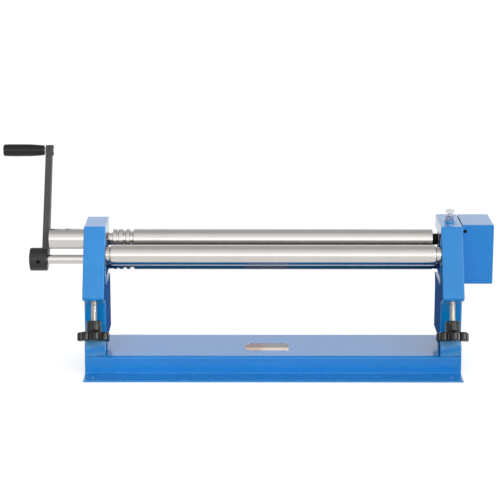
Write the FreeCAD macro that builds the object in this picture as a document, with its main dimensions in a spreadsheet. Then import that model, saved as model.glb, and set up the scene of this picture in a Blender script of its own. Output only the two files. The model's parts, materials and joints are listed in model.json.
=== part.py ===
"""Slip roll: a hand-cranked three-roller sheet bending machine, as an assembly of its pieces.

Millimetres. X runs along the rollers, with the crank at -X and the gears at +X. The operator
stands at -Y. Z is up and 0 at the bench. Y = 0 is the middle of the base.
"""
import FreeCAD, Part
import math
import os
import re

import Sketcher
from FreeCAD import Placement, Rotation, Vector

# ------------------------------------------------------------------ driving sizes
SIZES = (
    # folded base
    ("base_length", 712.2, "length of the base, with an end frame flush at either end"),
    ("base_top_width", 150.0, "depth of the raised top, front to back"),
    ("base_flange_width", 45.0, "width of each out-turned flange"),
    ("base_height", 37.0, "bench to the top of the base"),
    ("sheet_wall", 3.0, "thickness of the folded sheet"),
    ("fold_radius", 2.0, "inside radius of the folds"),
    ("bench_hole_dia", 10.0, "holes for the bench bolts"),
    ("bench_hole_inset", 18.1, "bench holes, in from the ends of the base"),
    ("bench_hole_span_y", 202.0, "bench holes, centre to centre along Y"),
    # end frames
    ("frame_wall", 40.7, "thickness of each end frame"),
    ("frame_top", 280.0, "bench to the top of the end frames"),
    ("head_front", 38.5, "front edge of the top face, forward of the middle"),
    ("nose_reach", 104.5, "tip of the nose, forward of the middle"),
    ("nose_drop", 88.9, "bending roller axis down to the nose's underside, along the screw"),
    ("nose_radius", 7.0, "rounding of the nose"),
    ("column_front", 60.0, "front of the column, forward of the middle"),
    ("column_rear", 52.0, "back of the column, behind the middle"),
    ("left_head_rear", 50.0, "back of the left head, behind the middle"),
    ("right_head_rear", 74.0, "back of the right head, behind the middle"),
    ("head_rear_height", 190.0, "lower end of the head's upright back"),
    ("foot_front", 75.0, "front of the foot, forward of the middle"),
    ("foot_rear", 63.0, "back of the foot, behind the middle"),
    ("foot_rise", 23.0, "height of the foot's front"),
    ("foot_rear_rise", 16.0, "height of the foot's back edge"),
    ("foot_blend", 5.0, "height of the slope from the foot up to the column"),
    ("recess_depth", 9.0, "depth of the recesses in the inner side"),
    ("ledge_height", 167.5, "bench to the floor of the upper recess"),
    ("lintel_height", 257.0, "bench to the top of the upper recess"),
    ("ledge_front", 42.0, "front end of the upper recess, forward of the middle"),
    ("sill_height", 72.0, "bench to the top of the lower recess"),
    ("sill_front", 45.0, "front end of the lower recess, forward of the middle"),
    ("boss_wall", 11.0, "iron left round the feed roller bushes"),
    ("edge_round", 2.0, "rounding of the frames' front and top edges"),
    # rollers
    ("roller_dia", 39.0, "outside diameter of all three rollers"),
    ("roller_gap", 1.0, "between the two feed rollers"),
    ("feed_axis_y", 6.0, "feed roller axes, behind the middle"),
    ("upper_axis_z", 246.0, "bench to the upper roller's axis"),
    ("feed_gap_left", 11.4, "left frame to the feed rollers' faces"),
    ("feed_gap_right", 12.4, "right frame to the feed rollers' faces"),
    ("bend_end_play", 1.7, "bush collar to the bending roller's face"),
    ("bend_reach", 50.0, "bending roller axis, forward of the feed rollers"),
    ("bend_rise", 20.7, "bending roller axis, above the lower roller's axis"),
    ("feed_journal_dia", 18.0, "journals of the lower roller and the upper roller's right end"),
    ("upper_left_journal_dia", 21.0, "journal at the upper roller's left end"),
    ("bend_journal_dia", 14.0, "journals of the bending roller"),
    ("bend_journal_length", 34.0, "length of each bending roller journal"),
    ("roller_chamfer", 0.8, "chamfer at the roller ends"),
    ("groove_first", 9.0, "first wire groove, from the rollers' left end"),
    ("groove_second", 22.2, "second wire groove, from the rollers' left end"),
    ("groove_third", 35.6, "third wire groove, from the rollers' left end"),
    ("groove_small", 2.2, "radius of the first wire groove"),
    ("groove_medium", 3.0, "radius of the second wire groove"),
    ("groove_large", 3.8, "radius of the third wire groove"),
    ("bush_wall", 3.0, "wall of the feed roller bushes"),
    ("bush_setback", 1.0, "bush end, inside the frame's outer face"),
    ("run_clearance", 0.05, "radial clearance of a turning fit"),
    ("seat_clearance", 0.02, "radial clearance of a fixed fit"),
    # bending roller carriage and its screws
    ("screw_tilt", 20.0, "degrees the adjusting screws lean back"),
    ("screw_forward", 4.0, "adjusting screw, forward of the bending roller's axis"),
    ("lift_up", 18.0, "travel of the bending roller above rest"),
    ("lift_down", 3.0, "travel of the bending roller below rest"),
    ("slide_clearance", 0.1, "each side of a sliding block"),
    ("slot_end_clearance", 1.0, "beyond the block at either end of its travel"),
    ("block_width", 22.0, "bending roller block, front to back"),
    ("block_above", 13.0, "block above the roller axis"),
    ("block_below", 19.0, "block below the roller axis"),
    ("block_depth", 30.0, "block along X"),
    ("bend_bush_wall", 2.0, "wall of the bending roller bush"),
    ("collar_dia", 32.0, "collar of the bending roller bush"),
    ("collar_wall", 8.6, "thickness of the bush collar"),
    ("collar_clearance", 0.3, "bush collar to the end frame"),
    ("screw_dia", 12.0, "adjusting screw thread"),
    ("pilot_dia", 8.0, "screw end held in the block"),
    ("pilot_length", 8.0, "length of the screw end held in the block"),
    ("neck_dia", 5.0, "groove in the screw end"),
    ("pin_dia", 3.0, "pins that hold the screw end"),
    ("knob_drop", 125.0, "roller axis down to the top of the knob, along the screw"),
    ("knob_hub_dia", 27.0, "hub of the star knob"),
    ("knob_hub_length", 21.0, "length of the star knob's hub"),
    ("star_dia", 62.0, "star knob across its lobes"),
    ("star_height", 17.0, "thickness of the star"),
    ("star_body_dia", 46.0, "star knob between its lobes"),
    ("lobe_dia", 16.0, "each lobe of the star"),
    ("lobe_count", 7.0, "lobes of the star"),
    ("knob_floor", 4.0, "plastic left under the screw end"),
    # crank
    ("crank_gap", 72.0, "left frame to the crank arm"),
    ("crank_hub_dia", 44.0, "hub of the crank"),
    ("crank_hub_length", 37.0, "length of the crank's hub"),
    ("crank_length", 220.0, "crank axis to handle axis"),
    ("crank_lean", 29.8, "degrees the crank leans back at rest"),
    ("arm_thickness", 13.5, "crank arm along X"),
    ("arm_root_half", 15.0, "half the arm's width at the hub"),
    ("boss_dia", 21.0, "boss at the handle end of the arm"),
    ("boss_proud", 2.0, "boss beyond the arm's inner face"),
    ("shaft_proud", 1.0, "crank shaft beyond the hub"),
    ("set_screw_dia", 8.0, "grub screws of the crank and the sleeve"),
    ("set_screw_sink", 1.0, "grub screw below the surface"),
    ("sleeve_clearance", 0.8, "sleeve to the left frame"),
    ("sleeve_end_gap", 2.5, "sleeve to the crank arm"),
    ("grip_length", 80.0, "length of the handle grip"),
    ("grip_dia", 24.0, "largest diameter of the grip"),
    ("grip_end_dia", 22.6, "grip at its outer end"),
    ("grip_neck_dia", 19.0, "grip at the crank arm"),
    ("grip_gap", 1.2, "grip to the crank arm"),
    ("spindle_dia", 10.0, "spindle inside the grip"),
    ("spindle_head_dia", 15.0, "head of the spindle"),
    ("spindle_head_sink", 2.0, "spindle head inside the grip's end"),
    ("spindle_head_length", 5.0, "length of the spindle's head"),
    # gears at the right end
    ("gear_teeth", 20.0, "teeth of each feed gear"),
    ("gear_width", 20.0, "face width of the feed gears"),
    ("tooth_thinning", 0.10, "taken off each flank for backlash"),
    ("journal_proud", 2.0, "journal shoulder beyond the right frame"),
    ("gear_seat_dia", 15.0, "shaft inside the gears"),
    ("gear_seat_short", 0.5, "shaft end inside the gear's outer face"),
    ("key_width", 5.0, "gear keys"),
    ("key_length", 14.0, "length of the gear keys"),
    ("end_screw_dia", 8.0, "screws that hold the gears"),
    ("end_screw_length", 16.0, "length of the gear screws in the shaft"),
    ("end_washer_dia", 24.0, "washers of the gear screws"),
    ("end_washer_wall", 2.5, "thickness of the gear washers"),
    ("cover_reach", 61.0, "gear cover beyond the right frame"),
    ("cover_wall", 1.5, "sheet of the gear cover"),
    ("cover_front", 23.5, "front of the gear cover, forward of the middle"),
    ("cover_bottom", 165.0, "bench to the bottom of the gear cover"),
    ("cover_screw_drop", 12.0, "top of the frames down to the cover screws"),
    ("cover_screw_dia", 5.0, "cover screws"),
    ("cover_screw_inset", 6.6, "cover screws, beyond the right frame"),
    ("lug_reach", 13.0, "lugs for the cover screws, beyond the right frame"),
    ("lug_depth", 10.0, "lugs for the cover screws, front to back"),
    ("lug_height", 12.0, "height of the lugs for the cover screws"),
    # clamp bolt on the right frame
    ("clamp_dia", 10.0, "clamp bolt thread"),
    ("clamp_boss_dia", 20.0, "raised seat under the lock nut"),
    ("clamp_boss_rise", 3.5, "height of the seat under the lock nut"),
    ("clamp_nut_height", 8.4, "height of the lock nut"),
    ("clamp_nut_width", 16.0, "lock nut and bolt head, across the flats"),
    ("clamp_neck", 5.6, "thread that shows between the nut and the head"),
    ("clamp_head_height", 6.4, "height of the clamp bolt's head"),
    ("clamp_pad_height", 5.0, "brass pad under the clamp bolt"),
    # bolts of the frames, plate and rivets
    ("foot_bolt_dia", 10.0, "bolts that hold the frames to the base"),
    ("foot_bolt_grip", 20.0, "length of these bolts in the frame"),
    ("foot_bolt_span", 84.0, "foot bolts of one frame, centre to centre"),
    ("foot_bolt_width", 16.0, "heads of the foot bolts, across the flats"),
    ("foot_bolt_head", 6.4, "height of the foot bolts' heads"),
    ("foot_washer_dia", 20.0, "washers of the foot bolts"),
    ("foot_washer_wall", 2.0, "thickness of the foot washers"),
    ("bolt_clearance", 0.5, "radial clearance of the bolt holes in the base"),
    ("plate_length", 82.0, "rating plate along X"),
    ("plate_depth", 45.0, "rating plate, front to back"),
    ("plate_wall", 0.8, "thickness of the rating plate"),
    ("plate_x", -11.0, "middle of the rating plate along X"),
    ("plate_y", -13.0, "middle of the rating plate, behind the base's middle"),
    ("plate_corner", 3.0, "corner radius of the rating plate"),
    ("rivet_dia", 2.4, "rivets of the rating plate"),
    ("rivet_head_dia", 4.4, "heads of these rivets"),
    ("rivet_head_height", 1.0, "height of the rivet heads"),
    ("rivet_inset", 4.0, "rivets in from the plate's edges"),
)

doc = FreeCAD.newDocument("slip_roll")
sheet = doc.addObject("Spreadsheet::Sheet", "sizes")
for row, (alias, number, meaning) in enumerate(SIZES, start=1):
    sheet.set("A%d" % row, alias)
    sheet.set("B%d" % row, str(number))
    sheet.setAlias("B%d" % row, alias)
    sheet.set("C%d" % row, meaning)
doc.recompute()

ALIASES = {alias for alias, number, meaning in SIZES}
WORD = re.compile(r"[A-Za-z_][A-Za-z_0-9]*")
ORIGIN = Vector(0, 0, 0)
ALONG_X = Vector(1, 0, 0)
ALONG_Y = Vector(0, 1, 0)
ALONG_Z = Vector(0, 0, 1)

# Places that several pieces share, worked out from the sheet's cells.
LOWER_Z = "(upper_axis_z - roller_dia - roller_gap)"
BEND_Y = "(feed_axis_y - bend_reach)"
BEND_Z = "(upper_axis_z - roller_dia - roller_gap + bend_rise)"
FRAME_OUTER = "(base_length / 2)"
FRAME_INNER = "(base_length / 2 - frame_wall)"
FRAME_MIDDLE = "(base_length / 2 - frame_wall / 2)"
FEED_FACE_LEFT = "(base_length / 2 - frame_wall - feed_gap_left)"
FEED_FACE_RIGHT = "(base_length / 2 - frame_wall - feed_gap_right)"
BLOCK_START = "(base_length / 2 - frame_wall - collar_clearance)"
BEND_FACE_HALF = "(base_length / 2 - frame_wall - collar_clearance - collar_wall - bend_end_play)"
BASE_HALF = "(base_top_width / 2)"
CRANK_INNER = "(base_length / 2 + crank_gap)"
GEAR_START = "(base_length / 2 + journal_proud)"
GEAR_END = "(base_length / 2 + journal_proud + gear_width)"
COVER_SCREW_Z = "(frame_top - cover_screw_drop)"
BEND_BUSH_DIA = "(bend_journal_dia + 2 * run_clearance + 2 * bend_bush_wall)"
FEED_BUSH_DIA = "(feed_journal_dia + 2 * run_clearance + 2 * bush_wall)"
UPPER_LEFT_BUSH_DIA = "(upper_left_journal_dia + 2 * run_clearance + 2 * bush_wall)"
PIN_DROP = "(block_below - pilot_length / 2)"
PIN_SIDE = "(neck_dia / 2 + pin_dia / 2 + seat_clearance)"
SCREW_Y = "(feed_axis_y - bend_reach - screw_forward * cos(screw_tilt))"
SCREW_Z = "(upper_axis_z - roller_dia - roller_gap + bend_rise + screw_forward * sin(screw_tilt))"
HEX_ROUND = 2 / math.sqrt(3)
CUTTER_SPARE = 5.0
INVOLUTE_POINTS = 6
PRESSURE_ANGLE = math.radians(20)

nodes = []


# ------------------------------------------------------------------ small tools
def in_sheet(text):
    """Point every alias in an expression at the sheet."""
    return WORD.sub(lambda word: "sizes." + word.group() if word.group() in ALIASES else word.group(), text)


def size(text):
    """The value of an expression of the sheet's aliases."""
    return float(sheet.evalExpression(in_sheet(text)))


def bind(thing, path, text):
    """Tie one property of an object to an expression of the sheet's aliases."""
    thing.setExpression(path, in_sheet(text))


def place(thing, x="0", y="0", z="0", axis=None, angle=None):
    """Put an object at bound coordinates, turned about an axis."""
    if axis is not None:
        thing.Placement = Placement(ORIGIN, Rotation(axis, size(angle)))
        bind(thing, "Placement.Rotation.Angle", angle)
    for name, text in (("x", x), ("y", y), ("z", z)):
        bind(thing, "Placement.Base." + name, text)


def keep(thing, label):
    """Name a finished sub-part, so that it is written as a node."""
    thing.Label = label
    nodes.append(thing)
    return thing


def body(label):
    """An empty PartDesign body."""
    return keep(doc.addObject("PartDesign::Body", label + "_body"), label)


def sketch(owner, name, role, offset="0"):
    """A sketch on one of the body's own planes, moved along the plane's normal."""
    plane = [feature for feature in owner.Origin.OriginFeatures if feature.Role == role][0]
    drawing = owner.newObject("Sketcher::SketchObject", name)
    drawing.AttachmentSupport = [(plane, "")]
    drawing.MapMode = "FlatFace"
    bind(drawing, "AttachmentOffset.Base.z", offset)
    return drawing


def hold(drawing, element, point, across, up):
    """Tie a sketch point to bound coordinates."""
    for kind, text, axis in (("DistanceX", across, -2), ("DistanceY", up, -1)):
        if text == "0":
            drawing.addConstraint(Sketcher.Constraint("PointOnObject", element, point, axis))
        else:
            number = drawing.addConstraint(Sketcher.Constraint(kind, -1, 1, element, point, size(text)))
            bind(drawing, "Constraints[%d]" % number, text)


def outline(drawing, corners):
    """A closed run of straight lines through bound corners."""
    first = drawing.GeometryCount
    spots = [Vector(size(across), size(up), 0) for across, up in corners]
    count = len(corners)
    for index in range(count):
        drawing.addGeometry(Part.LineSegment(spots[index], spots[(index + 1) % count]), False)
    for index in range(count):
        follower = first + (index + 1) % count
        drawing.addConstraint(Sketcher.Constraint("Coincident", first + index, 2, follower, 1))
    for index, (across, up) in enumerate(corners):
        hold(drawing, first + index, 1, across, up)


def circle(drawing, across, up, diameter):
    """A circle with a bound centre and diameter."""
    centre = Vector(size(across), size(up), 0)
    number = drawing.addGeometry(Part.Circle(centre, ALONG_Z, size(diameter) / 2), False)
    hold(drawing, number, 3, across, up)
    rule = drawing.addConstraint(Sketcher.Constraint("Diameter", number, size(diameter)))
    bind(drawing, "Constraints[%d]" % rule, diameter)


def feature(owner, kind, name, profile, length=None, side="One side", back=False):
    """A pad or pocket of a sketch."""
    made = owner.newObject("PartDesign::" + kind, name)
    made.Profile = profile
    if length is None:
        made.Type = "ThroughAll"
    else:
        bind(made, "Length", length)
    made.SideType = side
    made.Reversed = back
    profile.Visibility = False
    return made


def must_cut(owner, made):
    """Stop if a pocket removed nothing from its body."""
    doc.recompute()
    before = made.BaseFeature.Shape.Volume
    if not made.Shape.Volume < before * (1 - 1e-9):
        raise ValueError("%s cuts nothing from %s" % (made.Name, owner.Label))
    return made


def drill(owner, name, diameter, length, x, y, z, axis=None, angle=None):
    """A round hole along the local Z axis, from bound coordinates."""
    made = owner.newObject("PartDesign::SubtractiveCylinder", name)
    bind(made, "Radius", "(%s) / 2" % diameter)
    bind(made, "Height", length)
    place(made, x, y, z, axis, angle)
    return must_cut(owner, made)


def edges_where(shape, test):
    """The names of a shape's edges whose middle and direction pass a test."""
    names = []
    for index, edge in enumerate(shape.Edges, start=1):
        middle = edge.valueAt((edge.FirstParameter + edge.LastParameter) / 2)
        ends = edge.Vertexes[-1].Point - edge.Vertexes[0].Point
        if test(edge, middle, ends):
            names.append("Edge%d" % index)
    return names


def soften(owner, name, kind, text, test):
    """Round or chamfer the edges of a body's tip that pass a test."""
    doc.recompute()
    tip = owner.Tip
    made = owner.newObject("PartDesign::" + kind, name)
    made.Base = (tip, edges_where(tip.Shape, test))
    bind(made, "Radius" if kind == "Fillet" else "Size", text)
    doc.recompute()
    return made


def turned(label, stations, x="0", y="0", z="0"):
    """A body turned about X, from (place along X, diameter) stations of a stepped outline."""
    owner = body(label)
    profile = sketch(owner, label + "_profile", "XY_Plane")
    corners = [(stations[0][0], "0")]
    for start, end, diameter in stations_to_steps(stations):
        corners.append((start, "(%s) / 2" % diameter))
        corners.append((end, "(%s) / 2" % diameter))
    corners.append((stations[-1][0], "0"))
    outline(profile, corners)
    made = owner.newObject("PartDesign::Revolution", label + "_turning")
    made.Profile = profile
    made.ReferenceAxis = (profile, ["H_Axis"])
    made.Angle = 360
    profile.Visibility = False
    place(owner, x, y, z)
    return owner


def stations_to_steps(stations):
    """Pairs of neighbouring stations, as (start, end, diameter up to the end)."""
    return [(stations[index][0], stations[index + 1][0], stations[index + 1][1])
            for index in range(len(stations) - 1)]


def cylinder(name, diameter, length, x="0", y="0", z="0", axis=None, angle=None):
    """A Part cylinder along its local Z axis."""
    made = doc.addObject("Part::Cylinder", name)
    bind(made, "Radius", "(%s) / 2" % diameter)
    bind(made, "Height", length)
    place(made, x, y, z, axis, angle)
    return made


def hexagon(name, width, height, x="0", y="0", z="0", axis=None, angle=None):
    """A hexagonal prism along its local Z axis."""
    made = doc.addObject("Part::Prism", name)
    made.Polygon = 6
    bind(made, "Circumradius", "(%s) / sqrt(3)" % width)
    bind(made, "Height", height)
    place(made, x, y, z, axis, angle)
    return made


def block(name, length, width, height, x="0", y="0", z="0"):
    """A Part box from its lowest corner."""
    made = doc.addObject("Part::Box", name)
    for side, text in (("Length", length), ("Width", width), ("Height", height)):
        bind(made, side, text)
    place(made, x, y, z)
    return made


def fuse(name, pieces):
    """Several Part solids joined into one."""
    made = doc.addObject("Part::MultiFuse", name)
    made.Shapes = pieces
    made.Refine = True
    return made


def cut(name, base, tool):
    """One Part solid taken away from another."""
    made = doc.addObject("Part::Cut", name)
    made.Base = base
    made.Tool = tool
    return made


def group(label, pieces):
    """Equal fasteners, kept as separate solids in one node."""
    made = doc.addObject("Part::Compound", label + "_group")
    made.Links = pieces
    return keep(made, label)


def beside_screw(distance, side):
    """Bound Y and Z of a point above the bending roller's axis along the slide, and behind it square to the slide."""
    return ("%s + (%s) * sin(screw_tilt) + (%s) * cos(screw_tilt)" % (BEND_Y, distance, side),
            "%s + (%s) * cos(screw_tilt) - (%s) * sin(screw_tilt)" % (BEND_Z, distance, side))


def underside_height(y):
    """Height of the nose's underside, square to the adjusting screw, at a place Y."""
    return "%s - (nose_drop + (%s - %s) * sin(screw_tilt)) / cos(screw_tilt)" % (BEND_Z, y, BEND_Y)


# ------------------------------------------------------------------ base
def make_base():
    """The folded base: a channel with out-turned flanges and its bolt holes."""
    owner = body("base_channel")
    profile = sketch(owner, "base_profile", "YZ_Plane")
    outer = "(base_top_width / 2 + base_flange_width)"
    inner_top = "(base_height - sheet_wall)"
    inner_side = "(base_top_width / 2 - sheet_wall)"
    outline(profile, [
        ("-" + outer, "0"), ("-" + inner_side, "0"), ("-" + inner_side, inner_top),
        (inner_side, inner_top), (inner_side, "0"), (outer, "0"), (outer, "sheet_wall"),
        (BASE_HALF, "sheet_wall"), (BASE_HALF, "base_height"),
        ("-" + BASE_HALF, "base_height"), ("-" + BASE_HALF, "sheet_wall"), ("-" + outer, "sheet_wall")])
    feature(owner, "Pad", "base_sheet", profile, "base_length", side="Symmetric")

    def along(edge, ends):
        return abs(ends.x) > size("base_length") / 2

    wall = size("sheet_wall")
    half = size("base_top_width / 2")
    top = size("base_height")

    def is_outside_fold(edge, middle, ends):
        at_top = abs(abs(middle.y) - half) < wall / 2 and abs(middle.z - top) < wall / 2
        at_flange = abs(abs(middle.y) - half + wall) < wall / 2 and middle.z < wall / 2
        return along(edge, ends) and (at_top or at_flange)

    def is_inside_fold(edge, middle, ends):
        under_top = abs(abs(middle.y) - half + wall) < wall / 2 and abs(middle.z - top + wall) < wall / 2
        on_flange = abs(abs(middle.y) - half) < wall / 2 and abs(middle.z - wall) < wall / 2
        return along(edge, ends) and (under_top or on_flange)

    soften(owner, "base_outer_folds", "Fillet", "fold_radius + sheet_wall", is_outside_fold)
    soften(owner, "base_inner_folds", "Fillet", "fold_radius", is_inside_fold)

    holes = sketch(owner, "base_holes", "XY_Plane")
    for side in ("-", ""):
        for end in ("-", ""):
            circle(holes, side + "(base_length / 2 - bench_hole_inset)", end + "bench_hole_span_y / 2",
                   "bench_hole_dia")
            circle(holes, side + FRAME_MIDDLE, end + "foot_bolt_span / 2",
                   "(foot_bolt_dia + 2 * bolt_clearance)")
    must_cut(owner, feature(owner, "Pocket", "base_hole_cut", holes, side="Symmetric"))


def make_plate():
    """The blank rating plate on the base, held by four rivets."""
    low_x = "plate_x - plate_length / 2"
    low_y = "plate_y - plate_depth / 2"
    sheet_metal = block("plate_sheet", "plate_length", "plate_depth", "plate_wall", low_x, low_y, "base_height")
    doc.recompute()
    rounded = doc.addObject("Part::Fillet", "plate_rounded")
    rounded.Base = sheet_metal
    corner = size("plate_corner")
    upright = [index for index, edge in enumerate(sheet_metal.Shape.Edges, start=1)
               if abs(edge.Vertexes[-1].Point.z - edge.Vertexes[0].Point.z) > size("plate_wall") / 2]
    rounded.Edges = [(index, corner, corner) for index in upright]
    keep(rounded, "rating_plate")
    rivets = []
    for row_sign in ("-", "+"):
        for column_sign in ("-", "+"):
            spot_x = "plate_x %s (plate_length / 2 - rivet_inset)" % column_sign
            spot_y = "plate_y %s (plate_depth / 2 - rivet_inset)" % row_sign
            number = len(rivets) + 1
            rivets.append(cylinder("rivet_head_%d" % number, "rivet_head_dia", "rivet_head_height",
                                   spot_x, spot_y, "base_height + plate_wall"))
    group("plate_rivets", rivets)


# ------------------------------------------------------------------ end frames
def frame_outline(head_rear):
    """Corners of an end frame seen from the side, from the foot's front round to its back."""
    column = "-column_front"
    tip = "-nose_reach"
    foot_top = "base_height + foot_rise"
    return [
        ("-foot_front", "base_height"),
        ("-foot_front", foot_top),
        (column, foot_top + " + foot_blend"),
        (column, underside_height(column)),
        (tip, underside_height(tip)),
        ("-head_front", "frame_top"),
        (head_rear, "frame_top"),
        (head_rear, "head_rear_height"),
        ("column_rear", "head_rear_height - (%s - column_rear) * 2" % head_rear),
        ("column_rear", "base_height + foot_rise"),
        ("foot_rear", "base_height + foot_rear_rise"),
        ("foot_rear", "base_height"),
    ]


def make_frame(label, side, head_rear):
    """One cast end frame. side is -1 for the left frame and 1 for the right one."""
    owner = body(label)
    sign = "-" if side < 0 else ""
    inner = sign + FRAME_INNER
    profile = sketch(owner, label + "_profile", "YZ_Plane", inner)
    outline(profile, frame_outline(head_rear))
    feature(owner, "Pad", label + "_casting", profile, "frame_wall", back=side < 0)

    def is_nose_corner(edge, middle, ends):
        return abs(ends.x) > size("frame_wall") / 2 and abs(middle.y + size("nose_reach")) < 1

    soften(owner, label + "_nose", "Fillet", "nose_radius", is_nose_corner)

    def is_outer_rim(edge, middle, ends):
        on_front = middle.y < -size("head_front") * 0.9 and middle.z > size("base_height") + 1
        on_top = middle.z > size("frame_top") - 1
        lengthwise = abs(ends.x) > 1
        inside_corner = lengthwise and middle.z < size("frame_top") - 1
        return (on_front or on_top) and not inside_corner

    soften(owner, label + "_rim", "Fillet", "edge_round", is_outer_rim)

    into_wall = side > 0
    upper = sketch(owner, label + "_upper_recess", "YZ_Plane", inner)
    boss_rear = "(feed_axis_y + %s / 2 + boss_wall)" % FEED_BUSH_DIA
    boss_bottom = "(%s - %s / 2 - boss_wall)" % (LOWER_Z, FEED_BUSH_DIA)
    behind = head_rear + " + %g" % CUTTER_SPARE
    outline(upper, [
        ("-ledge_front", "ledge_height"), (behind, "ledge_height"), (behind, "lintel_height"),
        (boss_rear, "lintel_height"), (boss_rear, boss_bottom),
        ("-ledge_front + (%s - ledge_height) * tan(screw_tilt)" % boss_bottom, boss_bottom)])
    must_cut(owner, feature(owner, "Pocket", label + "_upper_recess_cut", upper, "recess_depth", back=into_wall))

    lower = sketch(owner, label + "_lower_recess", "YZ_Plane", inner)
    past_foot = "foot_rear + %g" % CUTTER_SPARE
    below_foot = "base_height - %g" % CUTTER_SPARE
    outline(lower, [
        ("-sill_front", below_foot), (past_foot, below_foot), (past_foot, "sill_height"),
        ("-sill_front", "sill_height")])
    must_cut(owner, feature(owner, "Pocket", label + "_lower_recess_cut", lower, "recess_depth", back=into_wall))

    slot = sketch(owner, label + "_slot", "YZ_Plane", inner)
    slot_half = "(block_width / 2 + slide_clearance)"
    slot_low = "-(lift_down + block_below + slot_end_clearance)"
    slot_high = "(lift_up + block_above + slot_end_clearance)"
    outline(slot, [
        beside_screw(slot_low, "-" + slot_half), beside_screw(slot_low, slot_half),
        beside_screw(slot_high, slot_half), beside_screw(slot_high, "-" + slot_half)])
    slot_depth = "block_depth + slot_end_clearance"
    must_cut(owner, feature(owner, "Pocket", label + "_slot_cut", slot, slot_depth, back=into_wall))

    bores = sketch(owner, label + "_bores", "YZ_Plane", inner)
    upper_bush = UPPER_LEFT_BUSH_DIA if side < 0 else FEED_BUSH_DIA
    circle(bores, "feed_axis_y", "upper_axis_z", "%s + 2 * seat_clearance" % upper_bush)
    circle(bores, "feed_axis_y", LOWER_Z, "%s + 2 * seat_clearance" % FEED_BUSH_DIA)
    must_cut(owner, feature(owner, "Pocket", label + "_bore_cut", bores, back=into_wall))

    middle_x = sign + FRAME_MIDDLE
    start_y, start_z = beside_screw("-(nose_drop + %g)" % CUTTER_SPARE, "-screw_forward")
    drill(owner, label + "_screw_hole", "screw_dia + 2 * run_clearance", "nose_drop", middle_x,
          start_y, start_z, Vector(-1, 0, 0), "screw_tilt")

    for number, end in enumerate(("-", ""), start=1):
        drill(owner, "%s_foot_hole_%d" % (label, number), "foot_bolt_dia + 2 * seat_clearance",
              "foot_bolt_grip + 2", middle_x, end + "foot_bolt_span / 2", "base_height - 1")
    return owner


def make_right_extras(owner):
    """The clamp bolt's seat and hole, and the gear cover's lugs, on the right frame."""
    seat = sketch(owner, "clamp_seat_outline", "XY_Plane", "frame_top - 1")
    circle(seat, FRAME_MIDDLE, "feed_axis_y", "clamp_boss_dia")
    feature(owner, "Pad", "clamp_seat", seat, "clamp_boss_rise + 1")
    drill(owner, "clamp_hole", "clamp_dia + 2 * run_clearance",
          "frame_top + clamp_boss_rise - upper_axis_z + 1", FRAME_MIDDLE, "feed_axis_y", "upper_axis_z")
    for name, low_y in (("front", "-(cover_front - cover_wall)"),
                        ("rear", "right_head_rear - cover_wall - lug_depth")):
        lug = owner.newObject("PartDesign::AdditiveBox", "cover_lug_" + name)
        for side, text in (("Length", "lug_reach + 1"), ("Width", "lug_depth"), ("Height", "lug_height")):
            bind(lug, side, text)
        place(lug, FRAME_OUTER + " - 1", low_y, COVER_SCREW_Z + " - lug_height / 2")
        doc.recompute()
    screw_x = FRAME_OUTER + " + cover_screw_inset"
    hole = "cover_screw_dia + 2 * seat_clearance"
    depth = "lug_depth - 1"
    drill(owner, "cover_tap_front", hole, depth, screw_x, "-cover_front - 1", COVER_SCREW_Z,
          Vector(-1, 0, 0), "90")
    drill(owner, "cover_tap_rear", hole, depth, screw_x, "right_head_rear + 1 - (%s)" % depth,
          COVER_SCREW_Z, Vector(-1, 0, 0), "90")


def make_foot_bolts():
    """Hexagon bolts and washers under the base top, two in each foot."""
    bolts = []
    washers = []
    under_top = "(base_height - sheet_wall)"
    for side in ("-", ""):
        for end in ("-", ""):
            number = len(bolts) + 1
            spot = (side + FRAME_MIDDLE, end + "foot_bolt_span / 2")
            washer_low = under_top + " - foot_washer_wall"
            ring = cylinder("foot_washer_disc_%d" % number, "foot_washer_dia", "foot_washer_wall",
                            spot[0], spot[1], washer_low)
            hole = cylinder("foot_washer_hole_%d" % number, "foot_bolt_dia + 2 * seat_clearance",
                            "foot_washer_wall + 2", spot[0], spot[1], washer_low + " - 1")
            washers.append(cut("foot_washer_%d" % number, ring, hole))
            head = hexagon("foot_bolt_head_%d" % number, "foot_bolt_width", "foot_bolt_head",
                           spot[0], spot[1], washer_low + " - foot_bolt_head")
            shank = cylinder("foot_bolt_shank_%d" % number, "foot_bolt_dia",
                             "foot_bolt_head + foot_washer_wall + sheet_wall + foot_bolt_grip",
                             spot[0], spot[1], washer_low + " - foot_bolt_head")
            bolts.append(fuse("foot_bolt_%d" % number, [head, shank]))
    group("foot_bolts", bolts)
    group("foot_washers", washers)


# ------------------------------------------------------------------ rollers and bushes
def wire_grooves(owner, label):
    """Three round grooves for rolling wire, near the roller's left end."""
    for name, place_from_end, radius in (("small", "groove_first", "groove_small"),
                                         ("medium", "groove_second", "groove_medium"),
                                         ("large", "groove_third", "groove_large")):
        ring = owner.newObject("PartDesign::SubtractiveTorus", "%s_%s_groove" % (label, name))
        bind(ring, "Radius1", "roller_dia / 2")
        bind(ring, "Radius2", radius)
        place(ring, "-%s + %s" % (FEED_FACE_LEFT, place_from_end), "0", "0", ALONG_Y, "90")
        must_cut(owner, ring)


def bevel_roller(owner, label, left, right):
    """Chamfer both ends of a roller's working face."""
    def is_rim(edge, middle, ends):
        radius = getattr(edge.Curve, "Radius", 0)
        at_end = abs(middle.x + size(left)) < 0.1 or abs(middle.x - size(right)) < 0.1
        return at_end and abs(radius - size("roller_dia") / 2) < 0.1

    soften(owner, label + "_bevel", "Chamfer", "roller_chamfer", is_rim)


def tap_end(owner, label, end):
    """A threaded hole in the right end of a feed roller, for the gear screw."""
    drill(owner, label + "_end_tap", "end_screw_dia + 2 * seat_clearance", "end_screw_length + 2",
          "%s - end_screw_length" % end, "0", "0", ALONG_Y, "90")


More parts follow.
